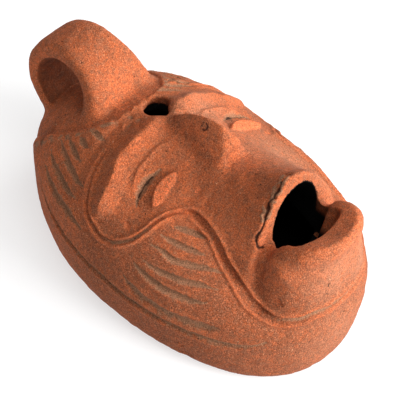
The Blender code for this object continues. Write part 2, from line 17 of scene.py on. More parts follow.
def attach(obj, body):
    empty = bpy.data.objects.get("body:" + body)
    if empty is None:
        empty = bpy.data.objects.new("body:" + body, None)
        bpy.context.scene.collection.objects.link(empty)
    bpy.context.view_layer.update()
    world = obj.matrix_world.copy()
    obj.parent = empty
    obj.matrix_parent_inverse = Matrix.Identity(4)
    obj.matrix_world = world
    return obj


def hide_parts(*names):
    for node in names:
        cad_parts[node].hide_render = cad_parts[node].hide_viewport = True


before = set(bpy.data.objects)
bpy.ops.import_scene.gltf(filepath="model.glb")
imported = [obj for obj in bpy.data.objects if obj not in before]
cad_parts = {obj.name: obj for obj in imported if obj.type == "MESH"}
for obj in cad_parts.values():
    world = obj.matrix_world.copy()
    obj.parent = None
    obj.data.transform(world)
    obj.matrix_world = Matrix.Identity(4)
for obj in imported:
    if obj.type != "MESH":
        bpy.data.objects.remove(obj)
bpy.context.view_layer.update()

METRE = 0.001

# Body, an egg-shaped vessel with a flat underside
CHIN_REACH = 52.8
BACK_REACH = 44.9
HALF_WIDTH = 31.9
CHIN_ROUNDNESS = 2.3
BACK_ROUNDNESS = 1.83
SEAM_HEIGHT = 19.7
SEAM_DROP_AT_CHIN = 1.5
CROWN_BACK = 21.7
CROWN_MIDDLE = 24.3
CROWN_CHIN = 14.7
CROWN_SPAN = 50.0
CROWN_ROUNDNESS = 1.81
FOOT_SHARE_BACK = 0.74
FOOT_SHARE_CHIN = 0.85
FLANK_ROUNDNESS_BACK = 2.6
FLANK_ROUNDNESS_CHIN = 3.9
WALL = 4.0
ROOF = 5.8

# The far temple was pressed in a little while the clay was soft
PRESS_Y = -2.0
PRESS_REACH = 14.0
PRESS_DEPTH = 1.3
# Where the pressing starts and where it is full: beside the middle plane and up
PRESS_FROM = (6.0, 18.0)
PRESS_FULL = (15.0, 30.0)
# On that side the beard and its wavy line run lower, out of sight from the near side
FAR_DROP = 6.0
FAR_DROP_Y = -24.0
FAR_DROP_REACH = 17.0
FAR_DROP_FROM_X = 8.0
FAR_DROP_FULL_X = 20.0
FAR_DROP_TOP = 44.0
FAR_DROP_FULL_BELOW = 6.0
# Its brow, eye and hair stand out by this share of the near side's
FAR_SHARE = 0.45

# Ring handle, a flat band bent in the middle plane; from some share of its length it widens and thickens
RING_Y = 36.5
RING_Z = 35.4
RING_RADIUS = 11.6
BAND_WIDTH = 14.6
BAND_THICKNESS = 5.3
BAND_ROUNDNESS = 4.2
BAND_FLARE = 14.6
BAND_FLARE_FROM = 0.55
BAND_SWELL = 0.5
BAND_SWELL_FROM = 0.7
RING_BACK_ANGLE = -75.0
RING_FRONT_ANGLE = 200.0

# Filling hole on the forehead, a little off the middle
FILL_X = 1.4
FILL_Y = 13.0
FILL_RADIUS = 3.9
FILL_WORN_EDGE = 0.5
FILL_WORN_DEPTH = 1.5
FILL_CUT_REACH = 12.0

# Nose, a wedge that leans a little and whose tip is broken off aslant
NOSE_ROOT_Y = 7.5
NOSE_TIP_Y = -11.9
NOSE_BED = 38.0
NOSE_ROOT_TOP = 46.2
NOSE_RIDGE_TOP = 53.2
NOSE_RIDGE_RISE = 1.35
NOSE_ROOT_HALF_WIDTH = 3.4
NOSE_TIP_HALF_WIDTH = 7.8
NOSE_SPREAD = 0.8
NOSE_ROUNDNESS = 1.15
NOSE_LEAN = 0.9
NOSE_BREAK_Y = -8.2
NOSE_BREAK_SLOPE = 1.1
NOSE_BREAK_TILT = 0.33

# Lower lip, a spout above the chin, and how far it is set back from the chin
SPOUT_SETBACK = 14.8
SPOUT_Y = SPOUT_SETBACK - CHIN_REACH
SPOUT_BED = 12.0
SPOUT_BACK_REACH = 8.0
LIP_REACH = 10.6
LIP_HALF_WIDTH = 10.8
LIP_TOP = 46.9
LIP_CORNER_TOP = 38.5
LIP_RISE = 0.45
LIP_RISE_FROM = 2.0
LIP_ROUNDNESS = 2.3
LIP_EVERSION = 1.1
LIP_ROLL_START = (0.82, 0.93)
LIP_ROLL_END = (0.95, 1.0)
CHIN_HALF_WIDTH = 20.5
CHIN_SWELL = 3.9

# Mouth, a well in the spout and an arch under the upper lip; the well widens from some depth below the rim
WELL_X = -0.5
WELL_Y = SPOUT_Y - 1.9
WELL_AHEAD = 3.1
WELL_BEHIND = 6.6
WELL_HALF_WIDTH = 8.4
WELL_SPREAD = 0.22
WELL_SPREAD_AHEAD = 0.35
WELL_SPREAD_BEHIND = 1.5
WELL_SPREAD_DEPTH = 3.0
WELL_FLOOR = SPOUT_BED + 3.0
# Its far side slopes inwards from another depth, by this share of its reach for each millimetre down
WELL_FAR_SLOPE = 0.05
WELL_FAR_DEPTH = 4.0
WELL_FAR_LEAST = 0.5
ARCH_START_Y = WELL_Y + 2.5
ARCH_X = 0.8
ARCH_HALF_WIDTH = 9.4
ARCH_ROUNDNESS = 2.5
ARCH_BED = 27.5
ARCH_TOP = 50.6
ARCH_BACK_Y = -19.0
ARCH_BACK_TOP = 40.0

# Upper lip, a hood that rises from the nose to a crisp leaning face over the mouth
HOOD_START_Y = -9.0
HOOD_FACE_Y = SPOUT_Y + 3.2
HOOD_START_BED = 37.0
HOOD_END_BED = 30.0
HOOD_START_TOP = 43.8
HOOD_END_TOP = 55.0
HOOD_START_HALF_WIDTH = 15.0
HOOD_END_HALF_WIDTH = 17.3
HOOD_ROUNDNESS = 1.55
HOOD_LEAN = 0.16

# How far the mouth's cutter stands above the lip
CUT_MARGIN = 8.0

# Fineness: the form is fused coarsely, then once more finely for the carving
SKIN_COLUMNS = 168
SKIN_ROWS = 60
CAVITY_COLUMNS = 72
CAVITY_ROWS = 30
FORM_VOXEL = 0.62
CARVING_VOXEL = 0.37
FORM_PASSES = 9
LIP_PASSES = 4
HOLLOW_PASSES = 1
EDGE_PASSES = 3
TRIANGLES = 195000
# The nose's ridge, the lips and the ring stay crisper than the rest
CRISP_SHARE = 0.85
CRISP_RIDGE_HEIGHT = 46.0
CRISP_LIP_HEIGHT = 37.5
CRISP_RING_SHARE = 0.8
# Below this height the skin is the flat underside
UNDERSIDE_REACH = 0.6

# Carving on one side, mirrored to the other: points beside the middle plane, along it and up
BROW_LINE = ((1.4, 7.5, 44.7), (3.9, 8.9, 43.6), (8.5, 9.0, 43.8), (12.9, 9.3, 42.1), (17.0, 9.1, 40.2),
             (21.5, 7.3, 38.3), (24.2, 6.3, 34.9), (26.2, 5.5, 31.6), (27.3, 3.6, 29.8))
BROW_HEIGHT = 2.0
BROW_INNER_WIDTH = 4.4
BROW_OUTER_WIDTH = 2.6
SOCKET_CENTRE = (16.0, -1.6)
SOCKET_REACH = (10.5, 5.5)
SOCKET_DEPTH = 1.9
SOCKET_FROM_Z = 28.0
SOCKET_FULL_Z = 33.0
LID_LINE = ((4.5, 2.4, 43.8), (9.0, 3.9, 43.0), (13.0, 3.9, 41.3), (16.5, 3.4, 39.7), (19.3, 1.9, 37.3),
            (20.3, -0.1, 35.5))
LID_WIDTH = 0.9
LID_HEIGHT = 0.4
EYE_LINE = ((10.7, -3.8, 41.7), (15.4, -4.0, 39.6), (19.5, -5.0, 36.4))
EYE_HALF_WIDTH = 1.9
EYE_HEIGHT = 0.95
EYE_TILT = 0.6
# Strength of the eyeball's painted highlight
EYE_HIGHLIGHT = 1.6
SLIT_LINE = ((11.5, 0.0, 39.6), (14.3, 0.5, 38.8), (16.8, 0.5, 37.6), (19.2, 0.0, 35.7), (21.3, -1.3, 34.8))
SLIT_WIDTH = 1.7
SLIT_DEPTH = 1.0
CURL_LINE = ((13.7, 14.4, 39.5), (18.3, 13.9, 36.7), (21.6, 12.9, 33.8), (24.5, 11.2, 31.1),
             (26.9, 8.3, 28.7), (28.2, 4.7, 27.2), (28.6, 2.1, 26.6), (28.4, -0.8, 27.0),
             (27.2, -3.9, 28.7), (25.5, -5.8, 30.4), (23.1, -7.1, 32.7), (20.7, -8.0, 34.4),
             (18.4, -9.3, 35.9), (16.0, -11.4, 37.0), (14.6, -14.0, 37.3), (14.5, -17.0, 37.1),
             (15.1, -20.5, 36.8), (15.4, -23.9, 34.8), (16.2, -26.5, 32.6), (16.7, -29.2, 30.8),
             (17.3, -32.2, 28.8), (17.8, -34.8, 26.9), (17.7, -37.5, 25.6), (16.6, -41.0, 24.7),
             (15.5, -44.4, 24.6), (12.8, -48.1, 25.0), (9.7, -50.5, 26.1), (6.0, -51.6, 25.9),
             (2.1, -52.1, 26.1), (0.0, -52.2, 26.0))
CURL_HALF_WIDTHS = ((0.0, 0.6), (0.25, 0.85), (0.38, 0.5), (0.46, 0.5), (0.52, 1.3), (0.75, 1.5), (1.0, 1.3))
CURL_DEPTH = 0.42
CURL_BORDER = 0.62
CURL_BORDER_WIDTH = 0.45

# The hair stands proud of the plain field behind: half-width of the field at places along the lamp
FIELD_EDGE = ((16.9, 1.6), (17.2, 5.0), (17.6, 8.3), (19.3, 10.0), (21.5, 12.2), (24.6, 14.2),
              (30.1, 15.5), (33.2, 15.8), (36.5, 15.4))
FIELD_TIP_SLOPE = 3.0
HAIR_STEP = 1.2
HAIR_FADE = 9.0
# Where the step starts and where it is full: along the lamp and up
HAIR_FROM = (13.0, 14.0)
HAIR_FULL = (18.5, 24.0)

# Strokes of hair and beard, each with its width and depth
STROKES = (
    (1.9, 0.85, ((22.1, 27.8, 26.1), (24.3, 23.2, 24.8), (26.2, 18.5, 24.6), (27.5, 14.6, 24.8),
                 (29.8, 8.6, 24.7))),
    (1.5, 0.8, ((19.6, 28.8, 29.4), (21.3, 25.6, 28.4), (23.3, 21.2, 28.1), (24.9, 17.3, 28.1),
                (25.7, 14.1, 28.5))),
    (1.5, 0.8, ((17.6, 27.5, 32.4), (18.9, 24.6, 31.7), (20.4, 21.4, 31.3), (22.8, 16.4, 31.0),
                (24.5, 13.5, 32.2))),
    (1.4, 0.7, ((16.8, 25.2, 34.1), (18.4, 21.5, 33.5), (19.6, 18.2, 33.5))),
    (1.4, 0.7, ((15.8, 22.6, 35.9), (16.3, 20.5, 35.6), (16.8, 18.7, 35.7))),
    (1.4, 0.6, ((14.0, 21.1, 38.5), (13.7, 19.1, 38.2), (14.2, 16.6, 39.1))),
    (1.3, 0.8, ((19.9, -12.4, 35.7), (18.8, -14.7, 35.6), (17.5, -17.4, 35.4), (16.1, -21.7, 35.6))),
    (1.3, 0.8, ((22.8, -10.8, 34.0), (22.1, -13.7, 33.3), (21.2, -17.1, 33.2), (20.0, -19.9, 32.7),
                (19.3, -22.3, 32.9))),
    (1.4, 0.8, ((25.2, -10.7, 31.5), (24.3, -13.3, 31.0), (24.2, -16.6, 30.3), (23.0, -19.1, 30.3),
                (21.4, -22.5, 30.5), (19.3, -28.1, 31.4))),
    (1.4, 0.8, ((28.0, -10.6, 28.2), (27.4, -13.2, 27.2), (26.8, -16.3, 27.3), (25.8, -19.7, 27.4),
                (24.1, -23.7, 27.6), (21.9, -29.5, 28.3))),
    (1.6, 0.85, ((29.4, -8.8, 26.6), (29.4, -11.2, 25.6), (28.8, -14.7, 24.7), (29.0, -18.2, 24.7),
                 (28.0, -22.0, 24.6), (26.8, -25.5, 24.6), (25.2, -28.8, 25.5))),
)
# Lines round the jaw, also with width and depth; they hold less dust and taper nearer to their ends
JAW_LINES = (
    (2.5, 0.9, ((31.1, -7.5, 21.9), (31.4, -9.3, 20.8), (31.5, -12.9, 19.2), (30.8, -18.5, 18.5),
                (29.4, -23.9, 18.4), (27.5, -29.3, 18.9), (25.3, -34.2, 20.1))),
    (1.8, 0.9, ((23.4, 28.2, 20.2), (26.0, 23.0, 18.5), (28.8, 15.3, 17.3), (30.3, 8.9, 17.0),
                (31.4, -0.1, 16.3), (31.6, -9.1, 15.2), (30.9, -16.2, 14.7), (29.3, -24.3, 14.5),
                (27.5, -29.2, 14.9), (24.9, -35.4, 15.2), (22.1, -41.1, 16.6), (19.5, -44.2, 18.5))),
)
STROKE_BORDER = 0.16
JAW_DUST = 0.8
JAW_ENDS = 0.15

# Marks of one side only: beside the middle plane (the near side is negative), along it and up
# Crack behind the upper lip's face, and the stretch of it that crumbles
CRACK = ((2.1, -29.2, 52.4), (-1.7, -29.3, 52.6), (-3.7, -29.7, 51.8), (-6.2, -30.2, 50.6),
         (-7.4, -29.6, 49.0), (-9.0, -30.9, 47.8), (-10.8, -31.9, 45.3), (-12.5, -31.7, 43.1),
         (-13.2, -32.3, 41.6), (-12.4, -33.1, 39.4), (-10.4, -34.0, 38.6))
CRACK_WIDTH = 0.8
CRACK_DEPTH = 0.6
CRUMBS = ((2.1, -29.2, 52.4), (-1.7, -29.3, 52.6), (-3.7, -29.7, 51.8), (-6.2, -29.9, 50.6),
          (-8.0, -30.2, 48.8), (-9.8, -31.2, 46.6), (-11.2, -31.7, 44.6))
CRUMB_REACH = 2.3
CRUMB_HEIGHT = 0.8
# Clay pressed into the corner between spout and chin, and the blunt edge beside it
CHIN_FILL = ((-13.3, -39.9, 42.0), (-13.9, -40.2, 40.5), (-14.0, -40.6, 38.7), (-14.3, -41.8, 36.8),
             (-14.6, -43.1, 34.4))
CHIN_FILL_HEIGHT = 1.1
CHIN_FILL_REACH = 3.0
CHIN_EDGE = ((-13.0, -43.4, 37.5), (-13.9, -44.6, 34.0), (-14.9, -45.2, 30.5))
CHIN_EDGE_HEIGHT = 0.15
CHIN_EDGE_REACH = 1.8
# Short strokes of the far hair over the brow, and a scratch on the lower lip
FAR_STROKES = (((5.5, 17.5, 42.0), (9.0, 15.6, 41.4), (12.3, 13.3, 40.2)),
               ((9.0, 18.3, 41.0), (12.4, 16.4, 39.8), (16.3, 14.5, 38.2)),
               ((12.2, 19.4, 39.8), (15.4, 17.2, 38.0), (18.4, 15.3, 36.8)))
FAR_STROKE_WIDTH = 1.2
FAR_STROKE_DEPTH = 0.5
SCRATCH = ((-5.0, -50.2, 35.0), (-5.6, -50.3, 33.4))
# A flake on the nose's ridge, of which a fine dark ring shows
FLAKE = (-0.6, -3.7, 50.4)
FLAKE_RADIUS = 0.95

# Pits: place, reach, depth and how much dust they hold
PITS = (
    ((-6.6, 21.4, 40.2), 1.1, 0.45, 0.8),
    ((-7.5, 17.3, 42.0), 1.2, 0.5, 0.9),
    ((-5.7, 15.9, 41.7), 0.9, 0.5, 0.9),
    ((-5.2, 13.7, 42.3), 1.0, 0.45, 0.9),
    ((-9.7, 17.2, 41.2), 1.3, 0.5, 0.9),
    ((-8.2, 14.6, 41.6), 1.1, 0.45, 0.8),
    ((-1.4, 6.9, 45.9), 1.1, 0.7, 0.9),
    ((-27.3, -26.5, 4.2), 1.9, 0.7, 0.3),
    ((-9.4, -25.6, 46.0), 0.7, 0.3, 0.9),
    ((-18.6, -40.2, 26.6), 1.4, 0.4, 0.7),
    ((0.8, -12.9, 48.0), 0.5, 0.3, 0.6),
)
# Chips: place, reach, depth and how dark their edge is
CHIPS = (
    ((-16.1, -43.1, 29.6), 1.3, 0.5, 0.75),
    ((-28.6, -25.7, 8.3), 0.8, 0.3, 0.0),
    ((-11.3, -33.0, 41.2), 1.9, 0.15, 0.0),
    ((20.6, -8.1, 34.6), 1.3, 0.25, 0.55),
    ((-25.0, -2.2, 31.4), 1.5, 0.25, 0.0),
    ((-10.9, -11.5, 41.2), 1.0, 0.2, 0.0),
)
# A crumbly patch of the cheek: place, reach and height
CRUMBLY = ((-11.4, -13.5, 41.3), 5.0, 0.3)

# Pale film: place, reach and strength
FILMS = (((-3.0, -50.0, 36.0), 13.0, 1.2), ((9.0, -50.0, 32.0), 13.0, 1.2), ((16.0, -16.0, 40.0), 15.0, 1.3),
         ((14.0, -26.0, 44.0), 12.0, 1.1), ((9.0, 4.0, 44.0), 13.0, 1.1), ((0.0, -50.0, 14.0), 18.0, 0.8))

# Painted shade on the lower flanks, darker towards the bottom: up to which height, how far back and how
# strong
LOW_SHADE_TOP = 38.0
LOW_SHADE_FULL = 29.0
LOW_SHADE_BACK_Y = 20.0
LOW_SHADE_FULL_Y = 0.0
LOW_SHADE_STRENGTH = 0.85

# Roughness of the hand-pressed skin: how far apart its swellings are and how high
SWELLINGS = ((9.0, 0.20), (3.4, 0.13), (1.5, 0.08), (0.9, 0.05))

# Middle line of the chamber, by which its walls are told: its height, and its length as a share of the body's
CHAMBER_HEIGHT = 18.0
CHAMBER_SHARE = 0.85

# Painted shade of the chamber, near black, from some depth below the plain upper half
SHADE_START_DEPTH = 1.6
SHADE_FULL_DEPTH = 3.4
# Painted shade under the upper lip's roof, from its face to the chamber
SHADE_START_Y = -34.0
SHADE_FULL_Y = -31.5
SHADE_BACK_Y = -14.0
SHADE_BED = 28.0
SHADE_HALF_WIDTH = 13.0
ROOF_MIDDLE = 34.0
# Painted shade down the well, darker towards the bottom, with the height where it starts and where it is
# full, and how far it reaches round it
SHADE_WELL_TOP = 40.0
SHADE_WELL_FULL = 30.0
SHADE_ABOVE_CROWN = 12.0
SHADE_OVERLAP = 2.0
WELL_SHADE_MARGIN = 1.0
WELL_SHADE_AHEAD = 2.5
# Painted shade on all the clay low down between well and chamber
THROAT_BACK_Y = -18.0
THROAT_TOP = 39.5
THROAT_FULL_BELOW = 4.0
# Painted shade inside the ring handle, behind this place and with this strength
RING_SHADE_Y = RING_Y - 4.0
RING_SHADE = 0.47

# Colours of the clay, of what lies on it, and of its painted shade and painted highlight, as read on a screen
CLAY = (166, 84, 46)
CLAY_WARM = (184, 94, 53)
CLAY_DULL = (132, 80, 55)
CLAY_BROWN = (128, 78, 53)
# Worn clay, also the colour of the eyeball's painted highlight
CLAY_WORN_AND_HIGHLIGHT = (218, 112, 66)
CLAY_CRUMB = (222, 124, 80)
SAND_COLOUR = (218, 152, 116)
SPECK_COLOUR = (222, 186, 146)
DUST_COLOUR = (138, 102, 76)
FILM_COLOUR = (166, 112, 84)
# Painted shade of the lower flanks
LOW_SHADE_COLOUR = (112, 60, 35)
CRACK_COLOUR = (48, 30, 22)
# Near-black painted shade of the deep hollows
HOLLOW_SHADE_COLOUR = (3, 3, 3)
BUMP_HEIGHT = 0.55

# Floor and lights: a light's name, azimuth, elevation, distance and size in metres, and power in watts
FLOOR_REACH = 1500.0
FLOOR_GREY = 0.36
FLOOR_GLOW = 0.66
LIGHTS = (("window", 76.0, 22.0, 1.2, 0.9, 11.0),
          ("front", 12.0, 26.0, 1.2, 0.7, 25.0),
          ("ceiling", -20.0, 70.0, 1.2, 0.8, 7.0))
ROOM_LIGHT = 0.18

# Camera, set to the photograph's view of the lamp
CAMERA_AIM = (2.74, -2.88, 18.44)
CAMERA_AZIMUTH = -54.70
CAMERA_ELEVATION = 50.19
CAMERA_DISTANCE = 600.0
CAMERA_ROLL = 8.26
CAMERA_LENS = 211.56
CAMERA_SENSOR = 36.0


def smooth_step(value, low, high):
    share = np.clip((value - low) / (high - low), 0.0, 1.0)
    return share * share * (3.0 - 2.0 * share)


def signed_power(value, exponent):
    return np.sign(value) * np.abs(value) ** exponent


def clay_noise(places, size, seed, cells=48):
    """Smooth unevenness between -1 and 1, from a lattice of seeded values this far apart."""
    table = np.random.default_rng(seed).uniform(-1, 1, (cells, cells, cells))
    spot = places / size
    cell = np.floor(spot).astype(int)
    share = spot - cell
    share = share * share * (3 - 2 * share)
    total = np.zeros(len(places))
    for corner in itertools.product((0, 1), repeat=3):
        weight = np.prod(np.where(corner, share, 1 - share), axis=1)
        total += weight * table[tuple(((cell + corner) % cells).T)]
    return total


def crown_height(y):
    """Height of the crown above the seam, a parabola through three sizes."""
    share = y / CROWN_SPAN
    swell = (CROWN_BACK + CROWN_CHIN) / 2 - CROWN_MIDDLE
    slope = (CROWN_BACK - CROWN_CHIN) / 2
    return CROWN_MIDDLE + slope * share + swell * share ** 2


def skin(bearing, rise, inset=0.0):
    """Point of the plain vessel; bearing 0 is the chin, rise runs from underside to crown."""
    ahead, aside = np.cos(bearing), np.sin(bearing)
    roundness = np.where(ahead > 0, CHIN_ROUNDNESS, BACK_ROUNDNESS)
    reach = np.where(ahead > 0, CHIN_REACH, BACK_REACH) - inset
    outline_x = (HALF_WIDTH - inset) * signed_power(aside, 2 / roundness)
    outline_y = -reach * signed_power(ahead, 2 / roundness)
    chin = np.clip((ahead + 0.3) / 1.3, 0, 1) ** 1.5
    level, steep = np.abs(np.cos(rise)), np.abs(np.sin(rise))

    shrink_up = level ** (2 / CROWN_ROUNDNESS)
    crown = crown_height(shrink_up * outline_y) - inset * ROOF / WALL
    top = SEAM_HEIGHT - SEAM_DROP_AT_CHIN * chin * shrink_up + crown * steep ** (2 / CROWN_ROUNDNESS)

    flank = FLANK_ROUNDNESS_BACK + (FLANK_ROUNDNESS_CHIN - FLANK_ROUNDNESS_BACK) * chin
    foot = FOOT_SHARE_BACK + (FOOT_SHARE_CHIN - FOOT_SHARE_BACK) * chin
    shrink_down = foot + (1 - foot) * level ** (2 / flank)
    seam = SEAM_HEIGHT - SEAM_DROP_AT_CHIN * chin
    low = inset + (seam - inset) * (1 - steep ** (2 / flank))

    above = rise >= 0
    shrink = np.where(above, shrink_up, shrink_down)
    return np.stack([shrink * outline_x, shrink * outline_y, np.where(above, top, low)], -1)


def depth_below_crown(places):
    """How far places lie below the plain upper half, measured straight up."""
    roundness = np.where(places[:, 1] < 0, CHIN_ROUNDNESS, BACK_ROUNDNESS)
    reach = np.where(places[:, 1] < 0, CHIN_REACH, BACK_REACH)
    share = (np.abs(places[:, 0] / HALF_WIDTH) ** roundness + np.abs(places[:, 1] / reach) ** roundness)
    share = np.minimum(share ** (1 / roundness), 1.0)
    lift = (1 - share ** CROWN_ROUNDNESS) ** (1 / CROWN_ROUNDNESS)
    return SEAM_HEIGHT + crown_height(places[:, 1]) * lift - places[:, 2]


def smooth_path(points, steps=10):
    """Catmull-Rom curve through a few points."""
    points = np.array(points, float)
    ends = np.vstack([2 * points[0] - points[1], points, 2 * points[-1] - points[-2]])
    share = np.linspace(0, 1, steps, endpoint=False)[:, None]
    runs = []
    for a, b, c, d in zip(ends[:-3], ends[1:-2], ends[2:-1], ends[3:]):
        runs.append(0.5 * (2 * b + (c - a) * share + (2 * a - 5 * b + 4 * c - d) * share ** 2
                           + (3 * b - a - 3 * c + d) * share ** 3))
    return np.vstack(runs + [points[-1:]])


def along(places, path, reach):
    """Distance of each place from a path, and the share of the path where it is nearest."""
    distance = np.full(len(places), 1e3)
    share = np.zeros(len(places))
    near = np.all((places > path.min(0) - reach) & (places < path.max(0) + reach), axis=1)
    spot = places[near]
    best = np.full(len(spot), 1e3)
    where = np.zeros(len(spot))
    lengths = np.linalg.norm(np.diff(path, axis=0), axis=1)
    starts = np.concatenate([[0], np.cumsum(lengths)])
    for i, (start, end) in enumerate(zip(path[:-1], path[1:])):
        run = end - start
        t = np.clip((spot - start) @ run / max(run @ run, 1e-9), 0, 1)
        gap = np.linalg.norm(spot - start - t[:, None] * run, axis=1)
        nearer = gap < best
        best = np.where(nearer, gap, best)
        where = np.where(nearer, (starts[i] + t * lengths[i]) / starts[-1], where)
    distance[near] = best
    share[near] = where
    return distance, share


def tapered(share, ends=0.12):
    return smooth_step(np.minimum(share, 1 - share), 0.0, ends)


def tent(distance, reach):
    """1 at no distance, falling evenly to 0 at the reach."""
    return np.clip(1 - distance / reach, 0, 1)


def flank_reach(y, z):
    """Half-width of the plain body at places along it and heights."""
    roundness = np.where(y < 0, CHIN_ROUNDNESS, BACK_ROUNDNESS)
    reach = np.where(y < 0, CHIN_REACH, BACK_REACH)
    lift = np.clip((z - SEAM_HEIGHT) / crown_height(y), 0, 1)
    share = (1 - lift ** CROWN_ROUNDNESS) ** (1 / CROWN_ROUNDNESS)
    return HALF_WIDTH * np.clip(share ** roundness - np.abs(y / reach) ** roundness, 0, 1) ** (1 / roundness)


def fold_over(places):
    """Places of the far side laid on the near side's pattern, whose beard they carry lower down."""
    x, y, z = places.T
    beside = smooth_step(x, FAR_DROP_FROM_X, FAR_DROP_FULL_X)
    beside = beside * smooth_step(FAR_DROP_TOP - z, 0.0, FAR_DROP_FULL_BELOW)
    drop = FAR_DROP * np.exp(-((y - FAR_DROP_Y) / FAR_DROP_REACH) ** 4) * beside
    moved = flank_reach(y, z + drop) - flank_reach(y, z)
    return np.column_stack([np.abs(x) + moved, y, z + drop])


class Relief:
    """Height of the carving over the plain form at some places, with its dust, wear and painted highlight,
    cracks, and painted shade.
    """

    def __init__(self, places, normals):
        self.places = places
        self.normals = normals
        self.side = fold_over(places)
        self.height = np.zeros(len(places))
        self.dust = np.zeros(len(places))
        self.wear_and_highlight = np.zeros(len(places))
        self.painted_shade = np.zeros(len(places))
        self.crack = np.zeros(len(places))
        self.film = np.zeros(len(places))
        self.low_shade = np.zeros(len(places))
        self.ragged = clay_noise(places, 1.1, 21)
        self.tree = KDTree(len(places))
        for i, place in enumerate(places):
            self.tree.insert(place, i)
        self.tree.balance()

    def mark(self, kind, amount):
        setattr(self, kind, np.maximum(getattr(self, kind), amount))

    def on_skin(self, points, mirrored=True):
        """Smooth path through points that lie on the skin; the near side's skin stands for both."""
        turn = np.array((-1.0, 1.0, 1.0)) if mirrored else np.ones(3)
        spots = [np.array(self.tree.find(spot * turn)[0]) * turn for spot in smooth_path(points, 6)]
        spots = np.array(spots)
        spots[1:-1] = (spots[:-2] + 2 * spots[1:-1] + spots[2:]) / 4
        return spots

    def groove(self, points, width, depth, dust=1.0, ends=0.3, mirrored=True):
        """Pointed groove with a slight border on each side."""
        places = self.side if mirrored else self.places
        distance, share = along(places, self.on_skin(points, mirrored), 2.2 * width)
        reach = width * (0.3 + 0.7 * tapered(share, ends))
        distance = np.maximum(distance + 0.1 * width * self.ragged, 0)
        bed = np.exp(-(distance / (0.5 * reach)) ** 4) * (0.4 + 0.6 * tapered(share, ends))
        border = np.exp(-((distance - 0.8 * reach) / (0.25 * width)) ** 2) * tapered(share, ends)
        self.height += STROKE_BORDER * border - 0.8 * depth * bed
        self.mark("dust", dust * tent(distance, 1.25 * reach))
        self.mark("wear_and_highlight", 0.35 * border)

    def pit(self, centre, reach, depth, dust):
        gap = np.linalg.norm(self.places - centre, axis=1)
        gap = gap * (1 + 0.35 * self.ragged)
        self.height -= depth * np.exp(-(gap / reach) ** 4)
        self.mark("dust", dust * tent(gap, 1.3 * reach))

    def chip(self, centre, reach, depth, rim):
        """Shallow flat break with fresh clay inside and perhaps a fine dark edge."""
        gap = np.linalg.norm(self.places - centre, axis=1)
        gap = gap * (1 + 0.5 * clay_noise(self.places, 0.8 * reach, 36))
        self.height -= depth * (1 - smooth_step(gap, 0.85 * reach, 1.1 * reach))
        self.mark("wear_and_highlight", 1 - smooth_step(gap, 0.8 * reach, 1.1 * reach))
        self.mark("crack", rim * tent(np.abs(gap - 1.1 * reach), 0.4))


def bowl(places, centre, reach, depth):
    across = ((places[:, 0] - centre[0]) / reach[0]) ** 2 + ((places[:, 1] - centre[1]) / reach[1]) ** 2
    return depth * np.exp(-across * 1.6)


def less_on_far_side(relief, start, full):
    """1 on the near side, down to the far side's share between two places beside the middle plane."""
    return 1 - (1 - FAR_SHARE) * smooth_step(relief.places[:, 0], start, full)


def press_far_temple(relief):
    x, y, z = relief.places.T
    about = np.exp(-((y - PRESS_Y) / PRESS_REACH) ** 2)
    beside = smooth_step(x, PRESS_FROM[0], PRESS_FULL[0]) * smooth_step(z, PRESS_FROM[1], PRESS_FULL[1])
    relief.height -= PRESS_DEPTH * about * beside


def raise_hair(relief):
    """The hair stands proud of the plain field behind the handle."""
    x, y, z = relief.side.T
    front, back = FIELD_EDGE[0][0], FIELD_EDGE[-1][0]
    edge = np.interp(y, *np.array(FIELD_EDGE).T)
    edge = np.where(y < front, -2.0 + (y - front) * FIELD_TIP_SLOPE, edge)
    outside = x - edge + 0.15 * relief.ragged
    rise = smooth_step(outside, -0.3, 0.35) * np.exp(-(np.maximum(outside, 0) / HAIR_FADE) ** 2)
    window = smooth_step(y, HAIR_FROM[0], HAIR_FULL[0]) * smooth_step(z, HAIR_FROM[1], HAIR_FULL[1])
    relief.height += HAIR_STEP * rise * window * less_on_far_side(relief, 0.0, 4.0)
    ledge = window * smooth_step(back + 4 - y, 0.0, 2.0)
    relief.mark("wear_and_highlight", 0.9 * tent(np.abs(outside - 0.3), 0.7) * ledge)
    patchy = smooth_step(relief.ragged, -0.6, 0.4)
    relief.mark("dust", 0.9 * tent(np.abs(outside - 1.6), 1.5) * ledge * patchy)


def raise_brow(relief):
    """Brow with a crisp crest and a sloping inner face that runs down to the eye."""
    path = relief.on_skin(BROW_LINE)
    distance, share = along(relief.side, path, 8.0)
    order = np.argsort(path[:, 0])
    inner = np.interp(relief.side[:, 0], path[order, 0], path[order, 1]) > relief.side[:, 1]
    width = BROW_INNER_WIDTH * (1 - 0.25 * share)
    slope = np.where(inner, np.clip(1 - distance / width, 0, 1), np.exp(-(distance / BROW_OUTER_WIDTH) ** 2))
    roll = slope * tapered(share, 0.11)
    relief.height += BROW_HEIGHT * roll * less_on_far_side(relief, 8.0, 16.0)
    relief.mark("wear_and_highlight", 0.8 * roll * inner * smooth_step(share, 0.05, 0.2))


